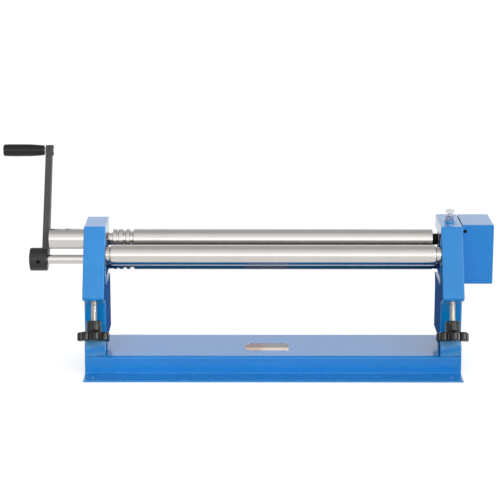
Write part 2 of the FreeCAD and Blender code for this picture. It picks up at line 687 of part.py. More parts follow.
def key_way(owner, label):
    """The keyway in the gear seat."""
    slot = owner.newObject("PartDesign::SubtractiveBox", label + "_keyway")
    for side, text in (("Length", "key_length"), ("Width", "key_width"), ("Height", "key_width")):
        bind(slot, side, text)
    place(slot, GEAR_START + " + (gear_width - key_length) / 2", "-key_width / 2",
          "gear_seat_dia / 2 - key_width / 2")
    must_cut(owner, slot)


def make_rollers():
    """The three rollers, each turned from one bar with its journals."""
    seat_end = GEAR_END + " - gear_seat_short"
    left_sleeve_end = "-(%s - sleeve_end_gap)" % CRANK_INNER
    upper = turned("upper_roller", [
        (left_sleeve_end, "0"), ("-" + FEED_FACE_LEFT, "upper_left_journal_dia"),
        (FEED_FACE_RIGHT, "roller_dia"), (GEAR_START, "feed_journal_dia"),
        (seat_end, "gear_seat_dia")], y="feed_axis_y", z="upper_axis_z")
    lower = turned("lower_roller", [
        ("-(%s + crank_hub_length + shaft_proud)" % CRANK_INNER, "0"),
        ("-" + FEED_FACE_LEFT, "feed_journal_dia"), (FEED_FACE_RIGHT, "roller_dia"),
        (GEAR_START, "feed_journal_dia"), (seat_end, "gear_seat_dia")], y="feed_axis_y", z=LOWER_Z)
    for owner, label in ((upper, "upper_roller"), (lower, "lower_roller")):
        bevel_roller(owner, label, FEED_FACE_LEFT, FEED_FACE_RIGHT)
        wire_grooves(owner, label)
        key_way(owner, label)
        tap_end(owner, label, seat_end)
    bend = turned("bend_roller", [
        ("-(%s + bend_journal_length)" % BEND_FACE_HALF, "0"), ("-" + BEND_FACE_HALF, "bend_journal_dia"),
        (BEND_FACE_HALF, "roller_dia"), (BEND_FACE_HALF + " + bend_journal_length", "bend_journal_dia")],
        y=BEND_Y, z=BEND_Z)
    bevel_roller(bend, "bend_roller", BEND_FACE_HALF, BEND_FACE_HALF)


def make_tube(label, outside, inside, start, length, y, z):
    """A plain bush or sleeve along X."""
    outer = cylinder(label + "_outside", outside, length, start, y, z, ALONG_Y, "90")
    inner = cylinder(label + "_bore", inside, "%s + 2" % length, "%s - 1" % start, y, z, ALONG_Y, "90")
    return cut(label + "_tube", outer, inner)


def make_bushes():
    """Plain bearing bushes of the feed rollers, pressed into the frames."""
    length = "(frame_wall - bush_setback)"
    left = "-(%s - bush_setback)" % FRAME_OUTER
    feed_bore = "feed_journal_dia + 2 * run_clearance"
    left_bore = "upper_left_journal_dia + 2 * run_clearance"
    for label, outside, inside, start, height in (
            ("upper_left_bush", UPPER_LEFT_BUSH_DIA, left_bore, left, "upper_axis_z"),
            ("lower_left_bush", FEED_BUSH_DIA, feed_bore, left, LOWER_Z),
            ("upper_right_bush", FEED_BUSH_DIA, feed_bore, FRAME_INNER, "upper_axis_z"),
            ("lower_right_bush", FEED_BUSH_DIA, feed_bore, FRAME_INNER, LOWER_Z)):
        keep(make_tube(label, outside, inside, start, length, "feed_axis_y", height), label)


def make_sleeve():
    """The sleeve on the upper roller's end outside the left frame, with its grub screw."""
    start = "-(%s - sleeve_end_gap)" % CRANK_INNER
    length = "(crank_gap - sleeve_end_gap - sleeve_clearance)"
    tube = make_tube("balance_sleeve", "roller_dia", "upper_left_journal_dia + 2 * seat_clearance",
                     start, length, "feed_axis_y", "upper_axis_z")
    screw_x = "%s + %s / 2" % (start, length)
    journal_top = "upper_axis_z + upper_left_journal_dia / 2"
    wall = "(roller_dia - upper_left_journal_dia) / 2"
    hole = cylinder("sleeve_tap", "set_screw_dia + 2 * seat_clearance", wall + " + 2", screw_x,
                    "feed_axis_y", journal_top)
    keep(cut("balance_sleeve_tapped", tube, hole), "balance_sleeve")
    grub = cylinder("sleeve_grub", "set_screw_dia", wall + " - set_screw_sink", screw_x, "feed_axis_y",
                    journal_top + " + seat_clearance")
    keep(grub, "sleeve_grub_screw")


# ------------------------------------------------------------------ bending roller carriage
def make_carriage(name, side):
    """Block, collared bush, screw pins, adjusting screw and star knob of one side."""
    sign = "-" if side < 0 else ""
    inner = sign + BLOCK_START
    middle = sign + FRAME_MIDDLE
    tilt = (Vector(-1, 0, 0), "screw_tilt")

    owner = body("bend_%s_block" % name)
    profile = sketch(owner, name + "_block_outline", "YZ_Plane")
    half = "block_width / 2"
    outline(profile, [("-" + half, "-block_below"), (half, "-block_below"), (half, "block_above"),
                      ("-" + half, "block_above")])
    circle(profile, "0", "0", "%s + 2 * seat_clearance" % BEND_BUSH_DIA)
    feature(owner, "Pad", name + "_block_pad", profile, "block_depth", back=side < 0)
    screw_offset = sign + "(frame_wall / 2 + collar_clearance)"
    drill(owner, name + "_pilot_hole", "pilot_dia + 2 * run_clearance", "pilot_length + 1", screw_offset,
          "-screw_forward", "-block_below - 1")
    pin_start = "0" if side > 0 else "-block_depth"
    for number, back in enumerate(("-", "+"), start=1):
        drill(owner, "%s_pin_hole_%d" % (name, number), "pin_dia + 2 * seat_clearance",
              "block_depth + 2", pin_start + " - 1", "-screw_forward %s %s" % (back, PIN_SIDE),
              "-" + PIN_DROP, ALONG_Y, "90")
    place(owner, inner, BEND_Y, BEND_Z, *tilt)

    bush_length = "block_depth"
    bush_start = inner if side > 0 else "%s - block_depth" % inner
    collar_start = "%s - collar_wall" % inner if side > 0 else inner
    tube = cylinder(name + "_bush_tube", BEND_BUSH_DIA, bush_length, bush_start, BEND_Y, BEND_Z, ALONG_Y, "90")
    collar = cylinder(name + "_bush_collar", "collar_dia", "collar_wall", collar_start, BEND_Y, BEND_Z,
                      ALONG_Y, "90")
    solid = fuse(name + "_bush_solid", [tube, collar])
    bore_start = "%s - collar_wall - 1" % inner if side > 0 else "%s - block_depth - 1" % inner
    bore = cylinder(name + "_bush_bore", "bend_journal_dia + 2 * run_clearance",
                    "block_depth + collar_wall + 2", bore_start, BEND_Y, BEND_Z, ALONG_Y, "90")
    keep(cut(name + "_bush_cut", solid, bore), "bend_%s_bush" % name)

    pins = []
    for number, back in enumerate(("-", "+"), start=1):
        spot_y, spot_z = beside_screw("-" + PIN_DROP, "-screw_forward %s %s" % (back, PIN_SIDE))
        pin_x = inner if side > 0 else "%s - block_depth" % inner
        pins.append(cylinder("%s_pin_%d" % (name, number), "pin_dia", "block_depth", pin_x, spot_y, spot_z,
                             ALONG_Y, "90"))
    group("%s_screw_pins" % name, pins)

    screw = body("%s_adjust_screw" % name)
    turning = sketch(screw, name + "_screw_profile", "XZ_Plane")
    pilot = "pilot_dia / 2"
    thread = "screw_dia / 2"
    neck = "neck_dia / 2"
    neck_top = "-(%s - pin_dia / 2 - seat_clearance)" % PIN_DROP
    neck_bottom = "-(%s + pin_dia / 2 + seat_clearance)" % PIN_DROP
    pilot_top = "-(block_below - pilot_length + run_clearance * 2)"
    shoulder = "-(block_below + run_clearance * 2)"
    screw_end = "-(knob_drop + knob_hub_length + star_height - knob_floor)"
    outline(turning, [("0", pilot_top), (pilot, pilot_top), (pilot, neck_top), (neck, neck_top),
                      (neck, neck_bottom), (pilot, neck_bottom), (pilot, shoulder), (thread, shoulder),
                      (thread, screw_end), ("0", screw_end)])
    made = screw.newObject("PartDesign::Revolution", name + "_screw_turning")
    made.Profile = turning
    made.ReferenceAxis = (turning, ["V_Axis"])
    made.Angle = 360
    place(screw, middle, SCREW_Y, SCREW_Z, *tilt)

    knob = body("%s_star_knob" % name)
    star_top = "-(knob_drop + knob_hub_length)"
    hub = sketch(knob, name + "_hub_outline", "XY_Plane", star_top)
    circle(hub, "0", "0", "knob_hub_dia")
    feature(knob, "Pad", name + "_hub", hub, "knob_hub_length")
    disc = sketch(knob, name + "_disc_outline", "XY_Plane", star_top)
    circle(disc, "0", "0", "star_body_dia")
    feature(knob, "Pad", name + "_disc", disc, "star_height", back=True)
    lobe = sketch(knob, name + "_lobe_outline", "XY_Plane", star_top)
    outward = "-(star_dia / 2 - lobe_dia / 2)"
    lobe_x, lobe_y = (outward, "0") if side < 0 else ("0", outward)
    circle(lobe, lobe_x, lobe_y, "lobe_dia")
    lobe_pad = feature(knob, "Pad", name + "_lobe", lobe, "star_height", back=True)
    pattern = knob.newObject("PartDesign::PolarPattern", name + "_lobes")
    pattern.Originals = [lobe_pad]
    pattern.Axis = (lobe, ["N_Axis"])
    pattern.Angle = 360
    bind(pattern, "Occurrences", "lobe_count")
    knob.Tip = pattern
    drill(knob, name + "_knob_bore", "screw_dia + 2 * seat_clearance",
          "knob_hub_length + star_height - knob_floor + 1", "0", "0",
          "-(knob_drop + knob_hub_length + star_height - knob_floor)")
    place(knob, middle, SCREW_Y, SCREW_Z, *tilt)


# ------------------------------------------------------------------ crank
def make_crank():
    """Crank arm with its hub, the handle spindle, the grip and the hub's grub screw."""
    arm = body("crank_arm")
    hub = sketch(arm, "crank_hub_outline", "YZ_Plane")
    circle(hub, "0", "0", "crank_hub_dia")
    feature(arm, "Pad", "crank_hub", hub, "crank_hub_length", back=True)
    web = sketch(arm, "crank_web_outline", "YZ_Plane")
    boss_half = "boss_dia / 2"
    outline(web, [("-arm_root_half", "0"), ("arm_root_half", "0"), (boss_half, "crank_length"),
                  ("-" + boss_half, "crank_length")])
    feature(arm, "Pad", "crank_web", web, "arm_thickness", back=True)
    boss = sketch(arm, "crank_boss_outline", "YZ_Plane", "boss_proud")
    circle(boss, "0", "crank_length", "boss_dia")
    feature(arm, "Pad", "crank_boss", boss, "arm_thickness + boss_proud", back=True)
    drill(arm, "crank_bore", "feed_journal_dia + 2 * seat_clearance", "crank_hub_length + 2",
          "-crank_hub_length - 1", "0", "0", ALONG_Y, "90")
    drill(arm, "spindle_hole", "spindle_dia + 2 * seat_clearance", "arm_thickness + boss_proud + 2",
          "-arm_thickness - 1", "0", "crank_length", ALONG_Y, "90")
    middle = "-crank_hub_length / 2"
    lean = "(90 + crank_lean)"
    drill(arm, "set_screw_hole", "set_screw_dia + 2 * seat_clearance", "crank_hub_dia / 2 + 1", middle,
          "0", "0", ALONG_X, lean)
    place(arm, "-" + CRANK_INNER, "feed_axis_y", LOWER_Z, Vector(-1, 0, 0), "crank_lean")

    shaft_half = "(feed_journal_dia / 2 + seat_clearance)"
    grub_length = "crank_hub_dia / 2 - set_screw_sink - %s" % shaft_half
    keep(cylinder("crank_grub", "set_screw_dia", grub_length, "-%s - crank_hub_length / 2" % CRANK_INNER,
                  "feed_axis_y - %s" % shaft_half, LOWER_Z, ALONG_X, "90"), "crank_set_screw")

    handle_y = "feed_axis_y + crank_length * sin(crank_lean)"
    handle_z = "%s + crank_length * cos(crank_lean)" % LOWER_Z
    grip_right = "(-%s - arm_thickness - grip_gap)" % CRANK_INNER
    grip_left = "(%s - grip_length)" % grip_right
    turned("handle_spindle", [
        ("%s + spindle_head_sink" % grip_left, "0"),
        ("%s + spindle_head_sink + spindle_head_length" % grip_left, "spindle_head_dia"),
        ("-%s + boss_proud" % CRANK_INNER, "spindle_dia")], y=handle_y, z=handle_z)

    grip = body("handle_grip")
    profile = sketch(grip, "grip_profile", "XY_Plane")
    head_bore = "(spindle_head_dia / 2 + run_clearance)"
    shank_bore = "(spindle_dia / 2 + run_clearance)"
    head_end = "%s + spindle_head_sink + spindle_head_length + 0.2" % grip_left
    outline(profile, [
        (grip_left, head_bore), (grip_left, "grip_end_dia / 2 - 1"), ("%s + 1" % grip_left, "grip_end_dia / 2"),
        ("%s + grip_length * 0.12" % grip_left, "grip_dia / 2 - 0.2"),
        ("%s + grip_length * 0.3" % grip_left, "grip_dia / 2"),
        ("%s + grip_length * 0.62" % grip_left, "grip_dia / 2 - 0.3"),
        ("%s + grip_length * 0.85" % grip_left, "(grip_dia + grip_neck_dia) / 4 + 0.2"),
        ("%s - 1" % grip_right, "grip_neck_dia / 2"), (grip_right, "grip_neck_dia / 2 - 1"),
        (grip_right, shank_bore), (head_end, shank_bore), (head_end, head_bore)])
    made = grip.newObject("PartDesign::Revolution", "grip_turning")
    made.Profile = profile
    made.ReferenceAxis = (profile, ["H_Axis"])
    made.Angle = 360
    place(grip, "0", handle_y, handle_z)


# ------------------------------------------------------------------ gears
def involute(base_radius, radius):
    """Angle that an involute turns through, from its base circle out to a radius."""
    if radius <= base_radius:
        return 0.0
    pressure = math.acos(base_radius / radius)
    return math.tan(pressure) - pressure


def gear_wire(first_angle):
    """Closed outline of a spur gear in the YZ plane, with a tooth centred on an angle."""
    teeth = int(size("gear_teeth"))
    pitch_radius = size("(roller_dia + roller_gap) / 2")
    module = 2 * pitch_radius / teeth
    tip_radius = pitch_radius + module
    root_radius = pitch_radius - 1.25 * module
    base_radius = pitch_radius * math.cos(PRESSURE_ANGLE)
    start_radius = max(base_radius, root_radius)
    thinning = size("tooth_thinning") / pitch_radius
    half_tooth = math.pi / (2 * teeth) - thinning + involute(base_radius, pitch_radius)

    def spot(radius, angle):
        return Vector(0, radius * math.sin(angle), radius * math.cos(angle))

    edges = []
    steps = [start_radius + (tip_radius - start_radius) * step / (INVOLUTE_POINTS - 1)
             for step in range(INVOLUTE_POINTS)]
    for tooth in range(teeth):
        centre = first_angle + 2 * math.pi * tooth / teeth
        next_centre = centre + 2 * math.pi / teeth
        rising = [spot(radius, centre - half_tooth + involute(base_radius, radius)) for radius in steps]
        falling = [spot(radius, centre + half_tooth - involute(base_radius, radius)) for radius in steps]
        falling.reverse()
        root_start = spot(root_radius, centre - half_tooth)
        root_end = spot(root_radius, centre + half_tooth)
        next_start = spot(root_radius, next_centre - half_tooth)
        valley = spot(root_radius, (centre + next_centre) / 2)
        edges.append(Part.LineSegment(root_start, rising[0]).toShape())
        up_flank = Part.BSplineCurve()
        up_flank.interpolate(rising)
        down_flank = Part.BSplineCurve()
        down_flank.interpolate(falling)
        edges.append(up_flank.toShape())
        edges.append(Part.Arc(rising[-1], spot(tip_radius, centre), falling[0]).toShape())
        edges.append(down_flank.toShape())
        edges.append(Part.LineSegment(falling[-1], root_end).toShape())
        edges.append(Part.Arc(root_end, valley, next_start).toShape())
    return Part.Wire(Part.__sortEdges__(edges))


def make_gear(label, height, first_angle):
    """One feed gear with its bore and keyway."""
    width = size("gear_width")
    blank = Part.Face(gear_wire(first_angle)).extrude(Vector(width, 0, 0))
    bore_radius = size("gear_seat_dia / 2 + seat_clearance")
    bore = Part.makeCylinder(bore_radius, width + 2, Vector(-1, 0, 0), ALONG_X)
    key_side = size("key_width + 2 * seat_clearance")
    key_top = size("gear_seat_dia / 2 + key_width / 2 + seat_clearance")
    slot = Part.makeBox(width + 2, key_side, key_top, Vector(-1, -key_side / 2, 0))
    gear = doc.addObject("Part::Feature", label + "_shape")
    gear.Shape = blank.cut(bore).cut(slot)
    gear.Placement = Placement(Vector(size(GEAR_START), size("feed_axis_y"), size(height)), Rotation())
    keep(gear, label)


def make_gear_set():
    """Gears, keys, washers and end screws of the two feed rollers."""
    half_pitch = math.pi / int(size("gear_teeth"))
    for prefix, height, first_angle in (("upper", "upper_axis_z", half_pitch), ("drive", LOWER_Z, 0.0)):
        make_gear(prefix + "_gear", height, first_angle)
        key = block(prefix + "_key", "key_length", "key_width", "key_width",
                    GEAR_START + " + (gear_width - key_length) / 2", "feed_axis_y - key_width / 2",
                    "%s + gear_seat_dia / 2 - key_width / 2" % height)
        keep(key, prefix + "_gear_key")
        disc = cylinder(prefix + "_washer_disc", "end_washer_dia", "end_washer_wall", GEAR_END,
                        "feed_axis_y", height, ALONG_Y, "90")
        hole = cylinder(prefix + "_washer_hole", "end_screw_dia + 2 * seat_clearance",
                        "end_washer_wall + 2", GEAR_END + " - 1", "feed_axis_y", height, ALONG_Y, "90")
        keep(cut(prefix + "_washer", disc, hole), prefix + "_gear_washer")
        head_start = GEAR_END + " + end_washer_wall"
        head = hexagon(prefix + "_screw_head", "end_screw_dia * 1.625", "end_screw_dia * 0.66",
                       head_start, "feed_axis_y", height, ALONG_Y, "90")
        shank = cylinder(prefix + "_screw_shank", "end_screw_dia", "end_screw_length + end_washer_wall",
                         head_start + " - end_washer_wall - end_screw_length", "feed_axis_y", height,
                         ALONG_Y, "90")
        keep(fuse(prefix + "_screw", [head, shank]), prefix + "_gear_screw")


def make_cover():
    """The folded gear cover, open towards the frame, and its two screws."""
    height = "(frame_top - cover_bottom)"
    depth = "(cover_front + right_head_rear)"
    outer = block("cover_outside", "cover_reach", depth, height, FRAME_OUTER, "-cover_front", "cover_bottom")
    inner = block("cover_inside", "cover_reach - cover_wall + 1", "%s - 2 * cover_wall" % depth,
                  "%s - 2 * cover_wall" % height, FRAME_OUTER + " - 1", "-cover_front + cover_wall",
                  "cover_bottom + cover_wall")
    shell = cut("cover_shell", outer, inner)
    screw_x = FRAME_OUTER + " + cover_screw_inset"
    hole = cylinder("cover_screw_holes", "cover_screw_dia + 2 * seat_clearance", "%s + 4" % depth, screw_x,
                    "right_head_rear + 2", COVER_SCREW_Z, ALONG_X, "90")
    keep(cut("cover_drilled", shell, hole), "gear_cover")
    screws = []
    shank_length = "cover_wall + lug_depth - 4"
    for name, facing, start in (("front", "90", "-cover_front"), ("rear", "-90", "right_head_rear")):
        inward = Vector(-1, 0, 0)
        head = cylinder("cover_head_" + name, "cover_screw_dia * 1.8", "cover_screw_dia * 0.6", screw_x,
                        start, COVER_SCREW_Z, ALONG_X, facing)
        shank = cylinder("cover_shank_" + name, "cover_screw_dia", shank_length, screw_x, start,
                         COVER_SCREW_Z, inward, facing)
        screws.append(fuse("cover_screw_" + name, [head, shank]))
    group("gear_cover_screws", screws)


# ------------------------------------------------------------------ clamp bolt
def make_clamp():
    """The clamp bolt on the right frame, its lock nut and the pad under it."""
    bush_top = "(upper_axis_z + %s / 2)" % FEED_BUSH_DIA
    pad_low = bush_top + " + seat_clearance"
    spot = (FRAME_MIDDLE, "feed_axis_y")
    keep(cylinder("clamp_pad_disc", "clamp_dia", "clamp_pad_height", spot[0], spot[1], pad_low), "clamp_pad")
    nut_low = "(frame_top + clamp_boss_rise)"
    nut = hexagon("clamp_nut_blank", "clamp_nut_width", "clamp_nut_height", spot[0], spot[1], nut_low)
    nut_hole = cylinder("clamp_nut_hole", "clamp_dia + 2 * run_clearance", "clamp_nut_height + 2", spot[0],
                        spot[1], nut_low + " - 1")
    keep(cut("clamp_nut", nut, nut_hole), "clamp_locknut")
    head_low = nut_low + " + clamp_nut_height + clamp_neck"
    shank_low = pad_low + " + clamp_pad_height + run_clearance"
    head = hexagon("clamp_head", "clamp_nut_width", "clamp_head_height", spot[0], spot[1], head_low)
    shank = cylinder("clamp_shank", "clamp_dia", "%s - (%s) + 1" % (head_low, shank_low), spot[0], spot[1],
                     shank_low)
    keep(fuse("clamp_bolt_solid", [head, shank]), "clamp_bolt")


# ------------------------------------------------------------------ assembly
make_base()
make_plate()
make_frame("left_frame", -1, "left_head_rear")
make_right_extras(make_frame("right_frame", 1, "right_head_rear"))
make_foot_bolts()
make_rollers()
make_bushes()
make_sleeve()
make_carriage("left", -1)
make_carriage("right", 1)
make_crank()
make_gear_set()
make_cover()
make_clamp()
doc.recompute()

for thing in doc.Objects:
    if "Invalid" in thing.State or "Error" in thing.State:
        raise ValueError("%s failed: %s" % (thing.Name, thing.State))
for node in nodes:
    if node.Shape.isNull() or not node.Shape.isValid() or not node.Shape.Solids:
        raise ValueError("%s has no valid solid" % node.Label)

os.makedirs("parts", exist_ok=True)
for node in nodes:
    node.Shape.exportStep(os.path.join("parts", node.Label + ".step"))
print("%d nodes, %d solids" % (len(nodes), sum(len(node.Shape.Solids) for node in nodes)))
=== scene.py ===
"""Slip roll: the dressed model of a hand-cranked three-roller bending machine.

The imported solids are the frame. Each operator below gives one group of pieces its finished
surface. Turned, folded, forged and moulded pieces are made again with finer forms, the end frames
are worked on from their solids, and the other solids keep their shape and get a finish.
"""

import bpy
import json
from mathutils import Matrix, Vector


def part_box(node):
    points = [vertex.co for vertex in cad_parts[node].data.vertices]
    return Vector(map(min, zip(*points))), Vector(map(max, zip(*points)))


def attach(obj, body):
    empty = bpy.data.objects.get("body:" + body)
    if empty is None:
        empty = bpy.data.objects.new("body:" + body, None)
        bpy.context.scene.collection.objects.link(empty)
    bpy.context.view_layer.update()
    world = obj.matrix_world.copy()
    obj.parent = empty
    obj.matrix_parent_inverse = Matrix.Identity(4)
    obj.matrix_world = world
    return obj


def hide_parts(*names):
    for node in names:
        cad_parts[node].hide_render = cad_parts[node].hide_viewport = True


bl_info = {
    "name": "Slip Roll",
    "version": (1, 0, 0),
    "blender": (4, 5, 0),
    "location": "3D View > Sidebar > Slip Roll",
    "description": "Dresses a bench slip roll: castings, rollers, crank, knobs, gears and studio",
    "category": "Object",
}

import json
import math

import bmesh
import bpy
from bpy.props import FloatProperty, FloatVectorProperty, IntProperty, PointerProperty
from bpy.types import Operator, Panel, PropertyGroup
from mathutils import Matrix, Vector

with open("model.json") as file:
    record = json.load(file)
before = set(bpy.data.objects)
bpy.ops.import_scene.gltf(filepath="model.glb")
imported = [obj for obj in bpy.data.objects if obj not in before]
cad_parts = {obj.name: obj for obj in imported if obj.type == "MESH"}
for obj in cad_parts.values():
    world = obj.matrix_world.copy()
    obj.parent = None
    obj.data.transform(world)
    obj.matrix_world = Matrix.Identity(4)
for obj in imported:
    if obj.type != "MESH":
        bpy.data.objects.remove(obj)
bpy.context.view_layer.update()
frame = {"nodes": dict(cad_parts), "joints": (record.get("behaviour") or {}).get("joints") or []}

MM = 0.001
QUARTER = math.radians(90)
SMOOTH_UP_TO = math.radians(38)
SAME_PLACE = 0.001 * MM
ROLLER_COLUMNS = 128
SCREW_COLUMNS = 40
GRUB_RADIUS = 4 * MM
GRUB_HOLE = 4.04 * MM


# ------------------------------------------------------------------ places taken from the frame
def middle_of(node):
    """Centre of a solid's box at rest."""
    low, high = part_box(node)
    return (low + high) / 2


def joint_vector(name, key):
    """A place or a direction of one joint of the frame."""
    return Vector(next(joint[key] for joint in frame["joints"] if joint["name"] == name))


UPPER_AXIS = joint_vector("upper_roller_turn", "pos_m")
LOWER_AXIS = joint_vector("crank_turn", "pos_m")
BEND_AXIS = joint_vector("bend_roller_spin", "pos_m")
GRIP_AXIS = joint_vector("grip_spin", "pos_m")
SCREW_SLOPE = joint_vector("bend_roller_lift", "axis")
SCREW_TILT = math.atan2(SCREW_SLOPE.y, SCREW_SLOPE.z)
CRANK_LEAN = math.atan2(GRIP_AXIS.y - LOWER_AXIS.y, GRIP_AXIS.z - LOWER_AXIS.z)
CRANK_LENGTH = math.hypot(GRIP_AXIS.y - LOWER_AXIS.y, GRIP_AXIS.z - LOWER_AXIS.z)


# ------------------------------------------------------------------ properties
def linear(text):
    """An sRGB hex colour as linear red, green, blue and alpha."""
    parts = [int(text[index:index + 2], 16) / 255 for index in (1, 3, 5)]
    return [part / 12.92 if part <= 0.04045 else ((part + 0.055) / 1.055) ** 2.4
            for part in parts] + [1.0]


def colour(label, about, text):
    """A colour property with an sRGB hex default."""
    return FloatVectorProperty(name=label, description=about, subtype="COLOR", size=4, min=0, max=1,
                               default=linear(text))


def length(label, about, millimetres):
    """A length property with its default in millimetres."""
    return FloatProperty(name=label, description=about, subtype="DISTANCE", unit="LENGTH", min=0,
                         default=millimetres * MM)


def angle(label, about, degrees):
    """An angle property with its default in degrees."""
    return FloatProperty(name=label, description=about, subtype="ANGLE", unit="ROTATION",
                         default=math.radians(degrees))


def strength(label, about, value):
    """A property for how strong a light is."""
    return FloatProperty(name=label, description=about, min=0, default=value)


class SlipRollColours(PropertyGroup):
    """Colours of the finishes."""
    enamel: colour("Enamel", "Blue machine enamel on castings", "#0A87D4")
    sheet_enamel: colour("Sheet enamel", "The enamel on the base and the gear cover", "#0A83D3")
    # Painted shade: the end frames' inner flanks are drawn in this deeper blue for the shade they lie in
    # under the rollers.
    painted_shade_flank_enamel: colour("Thin enamel", "One thin coat on the end frames' inner flanks", "#07599E")
    # Painted highlight: this pale enamel is drawn along edges for the light that rounded edges catch.
    edge_highlight_enamel: colour("Edge enamel", "The enamel where it is rubbed thin over edges", "#86C6F0")
    crank_enamel: colour("Crank enamel", "Satin black on the crank's arm", "#3A3937")
    # The hub is drawn darker and browner; the arm's side towards the machine gets this black too, as painted
    # shade.
    hub_and_shaded_side_enamel: colour("Hub enamel", "The same black, darker and browner from oil, on the hub", "#131010")
    phenolic: colour("Phenolic", "Black moulding compound of knobs and grip", "#0E0D0D")
    ground_steel: colour("Ground steel", "Polished rollers", "#C8C4C0")
    # Painted shade: the lower roller's barrel is drawn in this darker steel for the shade under the other
    # two rollers.
    painted_shade_roller_steel: colour("Oiled steel", "The lower roller under its film of oil", "#9E9690")
    turned_steel: colour("Turned steel", "Screws, blocks, gears and bushes", "#BDBAB7")
    zinc: colour("Zinc", "Bright zinc on nuts and bolts", "#CCCFD6")
    # Painted reflection: the lock nut is tinted blue for the blue frame that it reflects.
    painted_blue_reflection_zinc: colour("Blue zinc", "Blue passivated lock nut", "#7C8AA6")
    black_oxide: colour("Black oxide", "Blackened screws", "#17171A")
    bronze: colour("Bronze", "Bearing bronze", "#A9824A")
    plate_field: colour("Plate field", "Bare aluminium of the rating plate", "#EEDDCC")
    plate_band: colour("Plate band", "Etched band of the rating plate", "#8F8E90")


class SlipRollSizes(PropertyGroup):
    """Sizes of the pieces that are made again."""
    roller_diameter: length("Roller diameter", "Outside diameter of the three rollers", 39)
    roller_ease: length("Roller edge", "Rounding at the roller ends", 0.8)
    fine_ease: length("Fine edge", "Broken edge of turned pieces", 0.4)
    sheet_ease: length("Sheet fold", "Outside radius of the gear cover's folds", 2.5)
    cover_gap: length("Cover gap", "Gap between the gear cover's mouth and the frame", 1.4)
    adjust_pitch: length("Adjusting screw pitch", "Thread pitch of the adjusting screws", 1.75)
    clamp_pitch: length("Clamp bolt pitch", "Thread pitch of the clamp bolt", 1.5)
    star_diameter: length("Star diameter", "Star knobs across their lobes", 62)
    star_lobes: IntProperty(name="Star lobes", description="Lobes of each star knob", default=7, min=3)
    crank_ease: length("Crank edge", "Rounding of the crank arm", 1.6)


class SlipRollStudio(PropertyGroup):
    """Light and camera."""
    camera_distance: length("Camera distance", "Camera in front of the machine's middle", 3386.7)
    camera_height: length("Camera height", "Camera above the bench", 1051.1)
    camera_side: FloatProperty(name="Camera side", description="Camera to the right of the middle",
                               subtype="DISTANCE", unit="LENGTH", default=-33.3 * MM)
    camera_pitch: angle("Camera pitch", "Camera looking down", 13.71)
    camera_roll: angle("Camera roll", "Camera turned about its view", -0.04)
    camera_shift: FloatVectorProperty(name="Camera shift", size=2, default=(-0.0117, 0.0009), precision=4,
                                      description="Lens shift to the right and up, as shares of the frame")
    focal_length: FloatProperty(name="Focal length", description="Lens on a 36 mm wide sensor",
                                subtype="DISTANCE_CAMERA", unit="CAMERA", default=131.72)
    backdrop_light: strength("Backdrop", "World strength up to the backdrop's edge", 1.0)
    ceiling_light: strength("Ceiling", "World strength above the backdrop's edge", 0.6)
    front_glow: strength("Front glow", "What the world gains towards the front", 0.85)
    front_light: strength("Front softbox", "Radiance of the long softbox in front", 0.9)
    grid_light: strength("Gridded box", "Radiance of the gridded box on the left frame", 0.15432)
    edge_light: strength("Edge strips", "Radiance of two strips that only gloss shows", 20.0)
    side_light: strength("Side strip", "Radiance of the tall strip box at the right", 8.5)


# ------------------------------------------------------------------ mesh tools
def placed(point, turn=0.0, axis="Z"):
    """The local axes moved to a point and turned there about one of them."""
    return Matrix.Translation(point) @ Matrix.Rotation(turn, 4, axis)


def along_x(point):
    """Local Z turned to run along the machine, starting at X = 0 on the point's axis."""
    return placed((0, point.y, point.z), QUARTER, "Y")


def along_screw(point):
    """Local Z turned to run along the adjusting screws, starting at a point."""
    return placed(point, -SCREW_TILT, "X")


def eased(corners, radius, steps=3):
    """An outline with its inner corners rounded, less where its sides are short."""
    corners = [Vector(corner) for corner in corners]
    longest_share = 0.45
    points = [corners[0]]
    for before, corner, after in zip(corners, corners[1:], corners[2:]):
        back = before - corner
        ahead = after - corner
        reach = min(radius, back.length * longest_share, ahead.length * longest_share)
        start = corner + back.normalized() * reach
        end = corner + ahead.normalized() * reach
        for step in range(steps + 1):
            share = step / steps
            points.append(start * (1 - share) ** 2 + corner * 2 * share * (1 - share) + end * share ** 2)
    points.append(corners[-1])
    return points


def arc(centre, across, up, start, end, steps):
    """Points of an arc about a centre, from one angle to another, with its two half axes."""
    turns = [start + (end - start) * step / steps for step in range(steps + 1)]
    return [(centre[0] + across * math.cos(turn), centre[1] + up * math.sin(turn)) for turn in turns]


def ring_points(columns, height, radius, form=None):
    """Points round the local Z axis; a form scales the radius by angle."""
    if radius < SAME_PLACE:
        return [Vector((0, 0, height))]
    points = []
    for column in range(columns):
        turn = 2 * math.pi * column / columns
        reach = radius * (form(turn) if form else 1)
        points.append(Vector((reach * math.cos(turn), reach * math.sin(turn), height)))
    return points


def rings_of(rows, columns):
    """Rings of points from rows of height and radius, and of a form where a ring isn't round."""
    return [ring_points(columns, *row) for row in rows]


def skin(rings, matrix, closed=False):
    """A mesh over rings of points; a ring of one point closes an end."""
    mesh = bmesh.new()
    rows = [[mesh.verts.new(matrix @ point) for point in ring] for ring in rings]
    pairs = list(zip(rows, rows[1:]))
    if closed:
        pairs.append((rows[-1], rows[0]))
    for lower, upper in pairs:
        count = max(len(lower), len(upper))
        for index in range(count):
            after = (index + 1) % count
            if len(lower) == 1:
                mesh.faces.new((lower[0], upper[after], upper[index]))
            elif len(upper) == 1:
                mesh.faces.new((lower[index], lower[after], upper[0]))
            else:
                mesh.faces.new((lower[index], lower[after], upper[after], upper[index]))
    bmesh.ops.recalc_face_normals(mesh, faces=mesh.faces)
    return mesh


def lathe(rows, matrix, columns=96, closed=False):
    """A turned mesh from rows of height along the axis and radius."""
    return skin(rings_of(rows, columns), matrix, closed)


